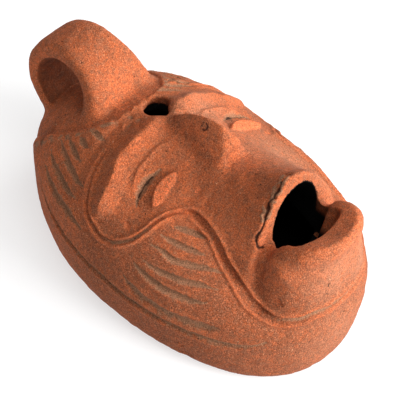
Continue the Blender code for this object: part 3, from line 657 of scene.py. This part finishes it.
def raise_eye(relief):
    """Sunken socket with a lid's fold, a slit and an eyeball that is tilted and painted bright as a
    highlight.
    """
    high = smooth_step(relief.places[:, 2], SOCKET_FROM_Z, SOCKET_FULL_Z)
    far = less_on_far_side(relief, 0.0, 4.0)
    relief.height += far * high * bowl(relief.side, SOCKET_CENTRE, SOCKET_REACH, -SOCKET_DEPTH)
    lid, share = along(relief.side, relief.on_skin(LID_LINE), 4.0)
    roll = np.exp(-(lid / (0.5 * LID_WIDTH)) ** 2) * tapered(share, 0.25)
    relief.height += LID_HEIGHT * roll
    relief.mark("wear_and_highlight", 0.5 * roll)
    relief.groove(SLIT_LINE, SLIT_WIDTH, SLIT_DEPTH, 1.0, 0.45)
    slit, share = along(relief.side, relief.on_skin(SLIT_LINE), 3.0)
    relief.mark("crack", tent(slit + 0.3 * relief.ragged, 0.55) * tapered(share, 0.3))
    distance, share = along(relief.side, relief.on_skin(EYE_LINE), 5.0)
    inside = EYE_HALF_WIDTH * np.clip(1 - (2 * share - 1) ** 2, 0, 1) ** 0.7 - distance
    eyeball = smooth_step(inside, -0.25, 0.35)
    middle = np.interp(relief.side[:, 0], *np.array(EYE_LINE).T[:2])
    tilt = np.clip((relief.side[:, 1] - middle) / EYE_HALF_WIDTH, -1, 1)
    relief.height += (EYE_HEIGHT + EYE_TILT * tilt) * eyeball
    relief.dust *= 1 - eyeball
    # Painted highlight: the eyeball gets the bright colour of worn clay
    relief.mark("wear_and_highlight", EYE_HIGHLIGHT * eyeball)


def carve_curl(relief):
    """Wavy line between hair, cheek and beard: a shallow bed between two fine raised borders."""
    distance, share = along(relief.side, relief.on_skin(CURL_LINE), 5.0)
    half = np.interp(share, *np.array(CURL_HALF_WIDTHS).T)
    begun = smooth_step(share, 0.0, 0.06)
    bed = (1 - smooth_step(distance, 0.6 * half, half)) * begun
    border = np.exp(-((distance - half - 0.2) / CURL_BORDER_WIDTH) ** 2) * begun
    fades = (1 - 0.15 * smooth_step(share, 0.8, 0.95)) * (0.7 + 0.3 * smooth_step(share, 0.2, 0.4))
    relief.height += fades * (CURL_BORDER * border - CURL_DEPTH * bed)
    middle = smooth_step(share, 0.24, 0.3) * (1 - smooth_step(share, 0.36, 0.42))
    chin = smooth_step(share, 0.78, 0.9)
    relief.dust *= 1 - 0.8 * border
    relief.mark("dust", (0.35 + 0.65 * np.maximum(middle, chin)) * tent(distance, 1.1 * half) * begun)
    relief.mark("wear_and_highlight", 0.75 * border)


def mark_lip(relief):
    """Crack behind the upper lip's face, its crumbling edge, and the clay pressed in beside the chin."""
    places = relief.places
    path = relief.on_skin(CRACK, False)
    distance, share = along(places, path, 3.0)
    distance = np.maximum(distance + 0.25 * clay_noise(places, 0.7, 35), 0)
    line = tent(distance, CRACK_WIDTH) * tapered(share, 0.05)
    relief.height -= CRACK_DEPTH * smooth_step(line, 0.2, 0.9)
    relief.mark("crack", line)
    crumbs, share = along(places, relief.on_skin(CRUMBS, False), 4.0)
    zone = smooth_step(tent(crumbs, CRUMB_REACH), 0.0, 0.6) * tapered(share, 0.15)
    loose = clay_noise(places, 1.0, 31)
    relief.height += CRUMB_HEIGHT * zone * (loose - 0.2)
    relief.mark("dust", 0.9 * zone * smooth_step(loose, -0.3, 0.3))
    relief.mark("crack", 0.8 * zone * smooth_step(-loose, 0.25, 0.6))
    fill, share = along(places, relief.on_skin(CHIN_FILL, False), 8.0)
    relief.height += CHIN_FILL_HEIGHT * np.exp(-(fill / CHIN_FILL_REACH) ** 2) * tapered(share, 0.4)
    edge, share = along(places, relief.on_skin(CHIN_EDGE, False), 5.0)
    relief.height += CHIN_EDGE_HEIGHT * np.exp(-(edge / CHIN_EDGE_REACH) ** 2) * tapered(share, 0.3)


def mark_wear_and_low_shade(relief):
    """The far hair strokes, a scratch, pits, chips, film, painted shade on the lower flanks and crumbly clay.
    """
    for line in FAR_STROKES:
        relief.groove(line, FAR_STROKE_WIDTH, FAR_STROKE_DEPTH, mirrored=False)
    scratch, share = along(relief.places, relief.on_skin(SCRATCH, False), 2.0)
    relief.mark("crack", tent(scratch, 0.5))
    for centre, reach, depth, dust in PITS:
        relief.pit(centre, reach, depth, dust)
    for chip in CHIPS:
        relief.chip(*chip)
    for centre, reach, strength in FILMS:
        relief.mark("film", strength * tent(np.linalg.norm(relief.places - centre, axis=1), reach))
    # Painted shade: the lower flanks ahead of the handle, darker towards the bottom
    low = smooth_step(relief.places[:, 2], LOW_SHADE_TOP, LOW_SHADE_FULL)
    relief.mark("low_shade", LOW_SHADE_STRENGTH * low * smooth_step(relief.places[:, 1], LOW_SHADE_BACK_Y, LOW_SHADE_FULL_Y))
    gap = np.linalg.norm(relief.places - FLAKE, axis=1)
    relief.mark("crack", tent(np.abs(gap - FLAKE_RADIUS), 0.45))
    centre, reach, height = CRUMBLY
    zone = tent(np.linalg.norm(relief.places - centre, axis=1), reach)
    relief.height += height * zone * clay_noise(relief.places, 1.2, 33)
    relief.mark("wear_and_highlight", 0.7 * zone * smooth_step(clay_noise(relief.places, 1.6, 34), 0.0, 0.4))


def looks_away(relief, x, y, z):
    """How far the skin at each place looks away from a middle point, along its own normal."""
    middle = np.column_stack(np.broadcast_arrays(x, y, z))
    return np.einsum("ij,ij->i", relief.normals, relief.places - middle)


def faces_middle(relief):
    """Whether the skin at each place faces the middle of the chamber."""
    return looks_away(relief, 0.0, CHAMBER_SHARE * relief.places[:, 1], CHAMBER_HEIGHT) < 0


# Painted shade on the inner faces of the ring handle, towards its back
def paint_ring_shade(relief):
    x, y, z = relief.places.T
    inside = np.hypot(y - RING_Y, z - RING_Z) < RING_RADIUS - 0.25 * BAND_THICKNESS
    faces_in = smooth_step(-looks_away(relief, x, RING_Y, RING_Z), 2.0, 7.0)
    relief.mark("painted_shade", RING_SHADE * inside * faces_in * (y > RING_SHADE_Y))


def paint_hollow_shade(relief):
    """Painted shade, near black, in the chamber, under the upper lip's roof, down the well and in the throat
    between them.
    """
    x, y, z = relief.places.T
    inner = faces_middle(relief)
    depth = depth_below_crown(relief.places)
    well = smooth_step(SHADE_WELL_TOP - z, 0.0, SHADE_WELL_TOP - SHADE_WELL_FULL)
    well = well * (y < SHADE_START_Y + SHADE_OVERLAP) * (depth > -SHADE_ABOVE_CROWN)
    chamber = smooth_step(depth, SHADE_START_DEPTH, SHADE_FULL_DEPTH)
    chamber = np.where(y < SHADE_START_Y, np.minimum(chamber, well), chamber)
    relief.mark("painted_shade", inner * chamber)

    roof = smooth_step(y, SHADE_START_Y, SHADE_FULL_Y) * (np.abs(x) < SHADE_HALF_WIDTH)
    roof = roof * (y < SHADE_BACK_Y) * (z > SHADE_BED)
    relief.mark("painted_shade", roof * (looks_away(relief, ARCH_X, y, ROOF_MIDDLE) < 0))

    between = np.abs(x - WELL_X) < WELL_HALF_WIDTH + WELL_SHADE_MARGIN
    in_well = between * (y > WELL_Y - WELL_AHEAD - WELL_SHADE_AHEAD)
    relief.mark("painted_shade", np.maximum(inner, in_well) * well)
    in_throat = between * (y > SHADE_START_Y - SHADE_OVERLAP) * (y < THROAT_BACK_Y)
    relief.mark("painted_shade", in_throat * smooth_step(THROAT_TOP - z, 0.0, THROAT_FULL_BELOW))


def whole_relief(places, normals):
    """All the carving and marks; the walls of the chamber keep their plain form."""
    relief = Relief(places, normals)
    press_far_temple(relief)
    raise_hair(relief)
    raise_brow(relief)
    for width, depth, line in STROKES:
        relief.groove(line, width, depth)
    for width, depth, line in JAW_LINES:
        relief.groove(line, width, depth, JAW_DUST, JAW_ENDS)
    carve_curl(relief)
    raise_eye(relief)
    mark_lip(relief)
    mark_wear_and_low_shade(relief)
    paint_ring_shade(relief)
    paint_hollow_shade(relief)
    for seed, (size, height) in enumerate(SWELLINGS):
        relief.height += height * clay_noise(places, size, seed)
    relief.height *= 1 - faces_middle(relief) * smooth_step(depth_below_crown(places), 1.5, 3.0)
    return relief


def closed_loft(rings):
    """Closed mesh through rings of equal count, its two ends fanned to their middles."""
    rings = np.array(rings)
    rows, count = rings.shape[:2]
    verts = [tuple(spot) for spot in rings.reshape(-1, 3)]
    faces = []
    for row in range(rows - 1):
        for i in range(count):
            j = (i + 1) % count
            faces.append((row * count + i, row * count + j, (row + 1) * count + j, (row + 1) * count + i))
    for row, turn in ((0, -1), (rows - 1, 1)):
        middle = len(verts)
        verts.append(tuple(rings[row].mean(0)))
        for i in range(count):
            j = (i + 1) % count
            faces.append((row * count + i, row * count + j, middle)[::turn])
    return verts, faces


def vessel(inset=0.0, columns=SKIN_COLUMNS, rows=SKIN_ROWS):
    bearings = np.linspace(0, 2 * math.pi, columns, endpoint=False)
    lift = 0.5 * math.pi * np.sin(np.linspace(-0.5, 0.5, rows) * math.pi)
    lift[0], lift[-1] = -0.5 * math.pi, 0.49 * math.pi
    return closed_loft([skin(bearings, np.full(columns, rise), inset) for rise in lift])


def ring_handle():
    """Flat band along most of a circle, wider and thicker where it meets the forehead."""
    turn = np.linspace(0, 2 * math.pi, 40, endpoint=False)
    rings = []
    for share in np.linspace(0, 1, 72):
        angle = math.radians(RING_BACK_ANGLE + share * (RING_FRONT_ANGLE - RING_BACK_ANGLE))
        outward = np.array([0, math.cos(angle), math.sin(angle)])
        middle = np.array([0, RING_Y, RING_Z]) + RING_RADIUS * outward
        flare = max(0, (share - BAND_FLARE_FROM) / (1 - BAND_FLARE_FROM)) ** 2
        swell = max(0, (share - BAND_SWELL_FROM) / (1 - BAND_SWELL_FROM))
        width = BAND_WIDTH / 2 + BAND_FLARE / 2 * flare
        thick = BAND_THICKNESS / 2 * (1 + BAND_SWELL * swell)
        across = width * signed_power(np.cos(turn), 2 / BAND_ROUNDNESS)
        deep = thick * signed_power(np.sin(turn), 2 / BAND_ROUNDNESS)
        rings.append(middle + across[:, None] * np.array([1, 0, 0]) + deep[:, None] * outward)
    return closed_loft(rings)


def arch(y, half_width, bed, top, roundness, columns=36):
    """Arched section across the body: a rounded peak on a flat bed."""
    turn = np.linspace(0, math.pi, columns)
    x = half_width * signed_power(np.cos(turn), 2 / roundness)
    z = bed + (top - bed) * np.abs(np.sin(turn)) ** (2 / roundness)
    return np.stack([x, np.full(columns, y), z], -1)


def nose():
    """Wedge that leans a little, its tip cut off by the break."""
    rings = []
    for share in np.linspace(0, 1, 28):
        y = NOSE_ROOT_Y + share * (NOSE_TIP_Y - NOSE_ROOT_Y)
        width = NOSE_ROOT_HALF_WIDTH + (NOSE_TIP_HALF_WIDTH - NOSE_ROOT_HALF_WIDTH) * share ** NOSE_SPREAD
        rise = math.sin(0.5 * math.pi * min(share * NOSE_RIDGE_RISE, 1))
        top = NOSE_ROOT_TOP + (NOSE_RIDGE_TOP - NOSE_ROOT_TOP) * rise
        ring = arch(y, width, NOSE_BED, top, NOSE_ROUNDNESS)
        ring[:, 0] += NOSE_LEAN * share * (ring[:, 2] - NOSE_BED) / (top - NOSE_BED)
        broken = NOSE_RIDGE_TOP + NOSE_BREAK_SLOPE * (y - NOSE_BREAK_Y)
        ring[:, 2] = np.minimum(ring[:, 2], broken + NOSE_BREAK_TILT * (ring[:, 0] - NOSE_LEAN))
        rings.append(ring)
    return closed_loft(rings)


def hood():
    """Arched sections that rise and widen; the last leans back and is the flat face of the upper lip."""
    rings = []
    for share in np.linspace(0, 1, 30):
        width = HOOD_START_HALF_WIDTH + (HOOD_END_HALF_WIDTH - HOOD_START_HALF_WIDTH) * share
        top = HOOD_START_TOP + (HOOD_END_TOP - HOOD_START_TOP) * share ** 1.5
        bed = HOOD_START_BED + (HOOD_END_BED - HOOD_START_BED) * share ** 2
        ring = arch(0.0, width, bed, top, HOOD_ROUNDNESS)
        lean = HOOD_LEAN * share * (ring[:, 2] - bed)
        ring[:, 1] = HOOD_START_Y + share * (HOOD_FACE_Y - HOOD_START_Y) + lean
        rings.append(ring)
    return closed_loft(rings)


def oval(x, y, half_width, ahead, behind, roundness, columns=64):
    """Outline in plan: an oval that reaches further ahead than behind."""
    turn = np.linspace(0, 2 * math.pi, columns, endpoint=False)
    reach = np.where(np.sin(turn) > 0, ahead, behind)
    across = x + half_width * signed_power(np.cos(turn), 2 / roundness)
    return across, y - reach * signed_power(np.sin(turn), 2 / roundness)


def spout():
    """Lower lip and chin: upright oval sections under a rolled rim that rises to the front."""
    rings = []
    for share in np.linspace(0, 1, 40):
        flare = LIP_EVERSION * (smooth_step(share, *LIP_ROLL_START) - smooth_step(share, *LIP_ROLL_END))
        chin = (1 - share) ** 0.85
        width = LIP_HALF_WIDTH + (CHIN_HALF_WIDTH - LIP_HALF_WIDTH) * chin + flare
        ahead = LIP_REACH + CHIN_SWELL * chin + flare
        x, y = oval(0.0, SPOUT_Y, width, ahead, SPOUT_BACK_REACH, LIP_ROUNDNESS)
        forward = np.clip((SPOUT_Y + LIP_RISE_FROM - y) / LIP_REACH, 0, 1)
        rim = LIP_CORNER_TOP + (LIP_TOP - LIP_CORNER_TOP) * forward ** LIP_RISE
        rings.append(np.stack([x, y, SPOUT_BED + share * (rim - SPOUT_BED)], -1))
    return closed_loft(rings)


def mouth_well():
    """Upright oval hole that widens downwards, but on its far side slopes inwards."""
    rings = []
    for z in np.linspace(WELL_FLOOR, HOOD_END_TOP + CUT_MARGIN, 12):
        grow = WELL_SPREAD * max(LIP_TOP - WELL_SPREAD_DEPTH - z, 0)
        ahead = WELL_AHEAD + WELL_SPREAD_AHEAD * grow
        behind = WELL_BEHIND + WELL_SPREAD_BEHIND * grow
        x, y = oval(WELL_X, WELL_Y, WELL_HALF_WIDTH + grow, ahead, behind, LIP_ROUNDNESS)
        far_share = max(1 - WELL_FAR_SLOPE * max(LIP_TOP - WELL_FAR_DEPTH - z, 0), WELL_FAR_LEAST)
        x = np.where(x > WELL_X, WELL_X + (x - WELL_X) * far_share, x)
        rings.append(np.stack([x, y, np.full(len(x), z)], -1))
    return closed_loft(rings)


def mouth_arch():
    """Hole under the upper lip, which gets lower towards the chamber."""
    rings = []
    for share in np.linspace(0, 1, 12):
        y = ARCH_START_Y + share * (ARCH_BACK_Y - ARCH_START_Y)
        top = ARCH_TOP + (ARCH_BACK_TOP - ARCH_TOP) * smooth_step(share, 0.2, 1.0)
        rings.append(arch(y, ARCH_HALF_WIDTH, ARCH_BED, top, ARCH_ROUNDNESS) + np.array([ARCH_X, 0, 0]))
    return closed_loft(rings)


def filling_hole():
    """Round hole that widens at the worn edge."""
    turn = np.linspace(0, 2 * math.pi, 40, endpoint=False)
    top = SEAM_HEIGHT + CROWN_MIDDLE
    slope = FILL_CUT_REACH / FILL_WORN_DEPTH
    rings = []
    for rise, grow in ((-slope, 0), (-1, 0), (1, FILL_WORN_EDGE), (slope, slope * FILL_WORN_EDGE)):
        z = top + rise * FILL_WORN_DEPTH
        radius = FILL_RADIUS + grow
        x, y = FILL_X + radius * np.cos(turn), FILL_Y + radius * np.sin(turn)
        rings.append(np.stack([x, y, np.full(40, z)], -1))
    return closed_loft(rings)


def mesh_object(name, parts):
    """One object of one or more closed meshes, faces turned outwards."""
    mesh = bpy.data.meshes.new(name)
    whole = bmesh.new()
    for verts, faces in parts:
        made = [whole.verts.new(spot) for spot in verts]
        for face in faces:
            whole.faces.new([made[i] for i in face])
    bmesh.ops.recalc_face_normals(whole, faces=whole.faces)
    whole.to_mesh(mesh)
    whole.free()
    thing = bpy.data.objects.new(name, mesh)
    bpy.context.scene.collection.objects.link(thing)
    return thing


def apply_modifiers(thing):
    shape = bpy.data.meshes.new_from_object(thing.evaluated_get(bpy.context.evaluated_depsgraph_get()))
    old = thing.data
    thing.modifiers.clear()
    thing.data = shape
    bpy.data.meshes.remove(old)


def read_vectors(mesh, name):
    vectors = np.empty(len(mesh.vertices) * 3, np.float32)
    mesh.vertices.foreach_get(name, vectors)
    return vectors.reshape(-1, 3).astype(float)


def set_places(mesh, places):
    mesh.vertices.foreach_set("co", places.astype(np.float32).ravel())
    mesh.update()


def crispness(places):
    """1 where edges stay crisp: the nose's ridge, the lips round the mouth and nearly so the ring."""
    y, z = places[:, 1], places[:, 2]
    ridge = smooth_step(z, CRISP_RIDGE_HEIGHT - 1, CRISP_RIDGE_HEIGHT + 1)
    ridge = ridge * (y > NOSE_TIP_Y - 2) * (y < NOSE_ROOT_Y - 4)
    lips = smooth_step(z, CRISP_LIP_HEIGHT - 1.5, CRISP_LIP_HEIGHT + 1.5)
    lips = lips * smooth_step(HOOD_FACE_Y + 5.5 - y, 0.0, 2.0)
    ring = smooth_step(y, RING_Y - 11.5, RING_Y - 8.5) * smooth_step(z, RING_Z - 8.4, RING_Z - 4.4)
    return np.maximum(np.maximum(ridge, lips), CRISP_RING_SHARE * ring)


def soften(thing, passes):
    """Move each point towards the middle of its neighbours, less so at the crisp edges."""
    mesh = thing.data
    edges = np.empty(len(mesh.edges) * 2, np.int32)
    mesh.edges.foreach_get("vertices", edges)
    first, second = edges.reshape(-1, 2).T
    start, end = np.concatenate([first, second]), np.concatenate([second, first])
    places = read_vectors(mesh, "co")
    count = np.bincount(start, minlength=len(places))[:, None]
    share = 0.5 * (1 - CRISP_SHARE * crispness(places))[:, None]
    for _ in range(passes):
        sums = [np.bincount(start, weights=places[end, axis], minlength=len(places)) for axis in range(3)]
        places += share * (np.stack(sums, -1) / count - places)
    set_places(mesh, places)


def fuse(thing, voxel, passes):
    """Join overlapping forms into one skin and soften its edges."""
    remesh = thing.modifiers.new("fuse", "REMESH")
    remesh.mode = "VOXEL"
    remesh.voxel_size = voxel
    apply_modifiers(thing)
    soften(thing, passes)


def cut_away(thing, cutter):
    cut = thing.modifiers.new("cut", "BOOLEAN")
    cut.operation = "DIFFERENCE"
    cut.solver = "EXACT"
    cut.object = cutter
    apply_modifiers(thing)
    bpy.data.objects.remove(cutter)


def add_form(thing, form):
    whole = bmesh.new()
    whole.from_mesh(thing.data)
    verts, faces = form
    made = [whole.verts.new(spot) for spot in verts]
    added = [whole.faces.new([made[i] for i in face]) for face in faces]
    bmesh.ops.recalc_face_normals(whole, faces=added)
    whole.to_mesh(thing.data)
    whole.free()


def carve(thing):
    """Raise and sink the skin by the carving, and keep its marks for the clay's material."""
    mesh = thing.data
    places = read_vectors(mesh, "co")
    normals = read_vectors(mesh, "normal")
    relief = whole_relief(places, normals)
    places = places + normals * relief.height[:, None]
    places[places[:, 2] < UNDERSIDE_REACH, 2] = 0.0
    set_places(mesh, places)
    for name in ("dust", "wear_and_highlight", "painted_shade", "crack", "film", "low_shade"):
        values = mesh.attributes.new(name, "FLOAT", "POINT")
        values.data.foreach_set("value", getattr(relief, name).astype(np.float32))


def thin_out(thing, triangles):
    mesh = thing.data
    mesh.calc_loop_triangles()
    fewer = thing.modifiers.new("fewer", "DECIMATE")
    fewer.ratio = triangles / len(mesh.loop_triangles)
    apply_modifiers(thing)


def lamp_piece(finish):
    lamp = mesh_object("clay_lamp", [vessel(), ring_handle(), nose(), hood()])
    fuse(lamp, FORM_VOXEL, FORM_PASSES)
    add_form(lamp, spout())
    fuse(lamp, FORM_VOXEL, LIP_PASSES)
    cavity = vessel(WALL, CAVITY_COLUMNS, CAVITY_ROWS)
    hollow = mesh_object("hollow", [cavity, mouth_well(), mouth_arch(), filling_hole()])
    fuse(hollow, CARVING_VOXEL, HOLLOW_PASSES)
    cut_away(lamp, hollow)
    fuse(lamp, CARVING_VOXEL, EDGE_PASSES)
    carve(lamp)
    thin_out(lamp, TRIANGLES)
    set_places(lamp.data, read_vectors(lamp.data, "co") * METRE)
    lamp.data.shade_smooth()
    lamp.data.materials.clear()
    lamp.data.materials.append(finish)
    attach(lamp, "root")
    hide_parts("lamp_body")


class Value:
    """A number socket of a material that takes part in Python sums."""

    def __init__(self, nodes, socket):
        self.nodes = nodes
        self.socket = socket

    def sum(self, operation, *terms):
        return self.nodes.make("ShaderNodeMath", {"operation": operation}, dict(enumerate(terms)))

    def __add__(self, other):
        return self.sum("ADD", self, other)

    def __sub__(self, other):
        return self.sum("SUBTRACT", self, other)

    def __rsub__(self, other):
        return self.sum("SUBTRACT", other, self)

    def __mul__(self, other):
        return self.sum("MULTIPLY", self, other)

    __radd__ = __add__
    __rmul__ = __mul__

    def most(self, other):
        return self.sum("MAXIMUM", self, other)

    def between(self, low, high):
        """0 below the low value, 1 above the high one, and smooth between them."""
        sockets = {"Value": self, "From Min": low, "From Max": high}
        return self.nodes.make("ShaderNodeMapRange", {"interpolation_type": "SMOOTHSTEP"}, sockets)


class Nodes:
    """The nodes of one material."""

    def __init__(self, material):
        material.use_nodes = True
        self.tree = material.node_tree
        self.shader = self.tree.nodes["Principled BSDF"]

    def make(self, kind, settings, sockets, output=0):
        node = self.tree.nodes.new(kind)
        for name, value in settings.items():
            setattr(node, name, value)
        for key, value in sockets.items():
            self.feed(node.inputs[key], value)
        return Value(self, node.outputs[output])

    def feed(self, socket, value):
        if isinstance(value, Value):
            self.tree.links.new(value.socket, socket)
        else:
            socket.default_value = value

    def mix(self, share, first, second, blend="MIX"):
        settings = {"data_type": "RGBA", "blend_type": blend}
        return self.make("ShaderNodeMix", settings, {0: share, 6: first, 7: second}, 2)

    def noise(self, where, per_mm, detail=2.0, roughness=0.5, distortion=0.0):
        sockets = {"Vector": where, "Scale": per_mm, "Detail": detail, "Roughness": roughness}
        return self.make("ShaderNodeTexNoise", {}, sockets | {"Distortion": distortion})

    def spots(self, where, per_mm):
        """Distance from the nearest of many scattered spots."""
        return self.make("ShaderNodeTexVoronoi", {}, {"Vector": where, "Scale": per_mm})

    def attribute(self, name):
        return self.make("ShaderNodeAttribute", {"attribute_name": name}, {}, 2)


def linear(colour):
    """Colour as read on a screen, 0 to 255, as a material's linear colour."""
    parts = [part / 255 for part in colour]
    return (*[part / 12.92 if part < 0.04045 else ((part + 0.055) / 1.055) ** 2.4 for part in parts], 1.0)


def terracotta():
    """Sandy fired clay, worn bright on its edges, with dust, film and cracks, a painted highlight on the
    eyeball, and painted shade low on the flanks, in the hollows and inside the ring, all from the marks.
    """
    material = bpy.data.materials.new("terracotta")
    nodes = Nodes(material)
    coordinates = nodes.make("ShaderNodeTexCoord", {}, {}, 3)
    where = nodes.make("ShaderNodeVectorMath", {"operation": "SCALE"}, {0: coordinates, "Scale": 1 / METRE})

    clouds = nodes.noise(where, 0.07, 3.0, 0.55).between(0.38, 0.62)
    blotches = nodes.noise(where, 0.35, 4.0, 0.6, 0.3).between(0.42, 0.66)
    patches = nodes.noise(where, 0.9, 3.0, 0.65, 0.2)
    crumbs = nodes.noise(where, 1.7, 3.0, 0.7)
    grain = nodes.noise(where, 3.1, 3.0, 0.7)
    sand = nodes.noise(where, 4.3, 2.0, 0.6)

    dust = (nodes.attribute("dust") + (patches - 0.5) * 0.7 + (grain - 0.5) * 0.35).between(0.3, 0.72)
    # Worn clay, and the painted highlight on the eyeball
    wear_and_highlight = nodes.attribute("wear_and_highlight") * patches.between(0.3, 0.55)
    # Painted shade in the hollows and inside the ring
    painted_shade = (nodes.attribute("painted_shade") + (grain - 0.5) * 0.3).between(0.25, 0.7)
    crack = (nodes.attribute("crack") + (grain - 0.5) * 0.5).between(0.42, 0.68)

    colour = nodes.mix(clouds, linear(CLAY), linear(CLAY_WARM))
    colour = nodes.mix(blotches * 0.5, colour, linear(CLAY_DULL))
    # Painted shade, darker low on the flanks
    low_shade = nodes.attribute("low_shade") * patches.between(0.2, 0.55)
    colour = nodes.mix(low_shade * 0.8, colour, linear(LOW_SHADE_COLOUR))
    film = nodes.attribute("film") * patches.between(0.2, 0.6) * 0.8
    colour = nodes.mix(film, colour, linear(FILM_COLOUR))
    colour = nodes.mix(wear_and_highlight * 0.75, colour, linear(CLAY_WORN_AND_HIGHLIGHT))
    colour = nodes.mix(patches.between(0.47, 0.62) * 0.6, colour, linear(CLAY_BROWN))
    colour = nodes.mix(crumbs.between(0.57, 0.68) * 0.5, colour, linear(CLAY_CRUMB))
    colour = nodes.mix(dust * 0.78, colour, linear(DUST_COLOUR))
    colour = nodes.mix(1.0, colour, grain * 3.4 - 0.7, "MULTIPLY")
    colour = nodes.mix(sand.between(0.54, 0.72) * 0.6, colour, linear(SAND_COLOUR))
    scattered = nodes.noise(where, 0.25, 2.0, 0.5).between(0.45, 0.7)
    specks = (1 - nodes.spots(where, 0.5).between(0.05, 0.11)) * scattered
    colour = nodes.mix(specks * 0.7, colour, linear(SPECK_COLOUR))
    pits = (1 - nodes.spots(where, 0.37).between(0.05, 0.10)) * (1 - scattered)
    colour = nodes.mix(pits.most(crack) * 0.85, colour, linear(CRACK_COLOUR))
    # Painted shade, near black, laid over the clay
    colour = nodes.mix(painted_shade, colour, linear(HOLLOW_SHADE_COLOUR))

    height = grain * 0.7 + sand * 0.3 + patches * 0.7 + crumbs * 0.6 - pits * 0.8 - crack * 0.8
    sockets = {"Height": height, "Strength": 0.7, "Distance": BUMP_HEIGHT * METRE}
    bump = nodes.make("ShaderNodeBump", {}, sockets)
    nodes.feed(nodes.shader.inputs["Base Color"], colour)
    nodes.feed(nodes.shader.inputs["Normal"], bump)
    nodes.shader.inputs["Roughness"].default_value = 0.9
    nodes.shader.inputs["Specular IOR Level"].default_value = 0.2
    return material


def floor():
    """Plain pale floor, a little bright by itself so that the shadow stays faint."""
    material = bpy.data.materials.new("floor")
    nodes = Nodes(material)
    nodes.shader.inputs["Base Color"].default_value = (FLOOR_GREY, FLOOR_GREY, FLOOR_GREY, 1)
    nodes.shader.inputs["Roughness"].default_value = 1.0
    nodes.shader.inputs["Specular IOR Level"].default_value = 0.0
    nodes.shader.inputs["Emission Color"].default_value = (1, 1, 1, 1)
    nodes.shader.inputs["Emission Strength"].default_value = FLOOR_GLOW
    reach = FLOOR_REACH * METRE
    sheet = bpy.data.meshes.new("floor")
    sheet.from_pydata([(-reach, -reach, 0), (reach, -reach, 0), (reach, reach, 0), (-reach, reach, 0)],
                      [], [(0, 1, 2, 3)])
    sheet.materials.append(material)
    thing = bpy.data.objects.new("floor", sheet)
    bpy.context.scene.collection.objects.link(thing)


def heading(azimuth, elevation):
    """Direction from the lamp to a viewer or a light; azimuth 0 looks at the chin."""
    azimuth, elevation = math.radians(azimuth), math.radians(elevation)
    return Vector((math.sin(azimuth) * math.cos(elevation), -math.cos(azimuth) * math.cos(elevation),
                   math.sin(elevation)))


def camera():
    data = bpy.data.cameras.new("camera")
    data.lens = CAMERA_LENS
    data.sensor_width = CAMERA_SENSOR
    data.clip_start = 0.01
    data.clip_end = 10.0
    viewer = bpy.data.objects.new("camera", data)
    away = heading(CAMERA_AZIMUTH, CAMERA_ELEVATION)
    viewer.location = (Vector(CAMERA_AIM) + away * CAMERA_DISTANCE) * METRE
    level = (-away).to_track_quat("-Z", "Y")
    viewer.rotation_euler = (level @ Quaternion((0, 0, 1), math.radians(CAMERA_ROLL))).to_euler()
    bpy.context.scene.collection.objects.link(viewer)
    bpy.context.scene.camera = viewer


def soft_light(name, azimuth, elevation, distance, size, power):
    data = bpy.data.lights.new(name, "AREA")
    data.shape = "DISK"
    data.size = size
    data.energy = power
    lamp = bpy.data.objects.new(name, data)
    away = heading(azimuth, elevation)
    lamp.location = away * distance
    lamp.rotation_euler = (-away).to_track_quat("-Z", "Y").to_euler()
    bpy.context.scene.collection.objects.link(lamp)


def studio():
    world = bpy.data.worlds.new("studio")
    world.use_nodes = True
    world.node_tree.nodes["Background"].inputs["Color"].default_value = (1, 1, 1, 1)
    world.node_tree.nodes["Background"].inputs["Strength"].default_value = ROOM_LIGHT
    bpy.context.scene.world = world
    for light in LIGHTS:
        soft_light(*light)
    bpy.context.scene.view_settings.view_transform = "Standard"


camera()
studio()
floor()
lamp_piece(terracotta())
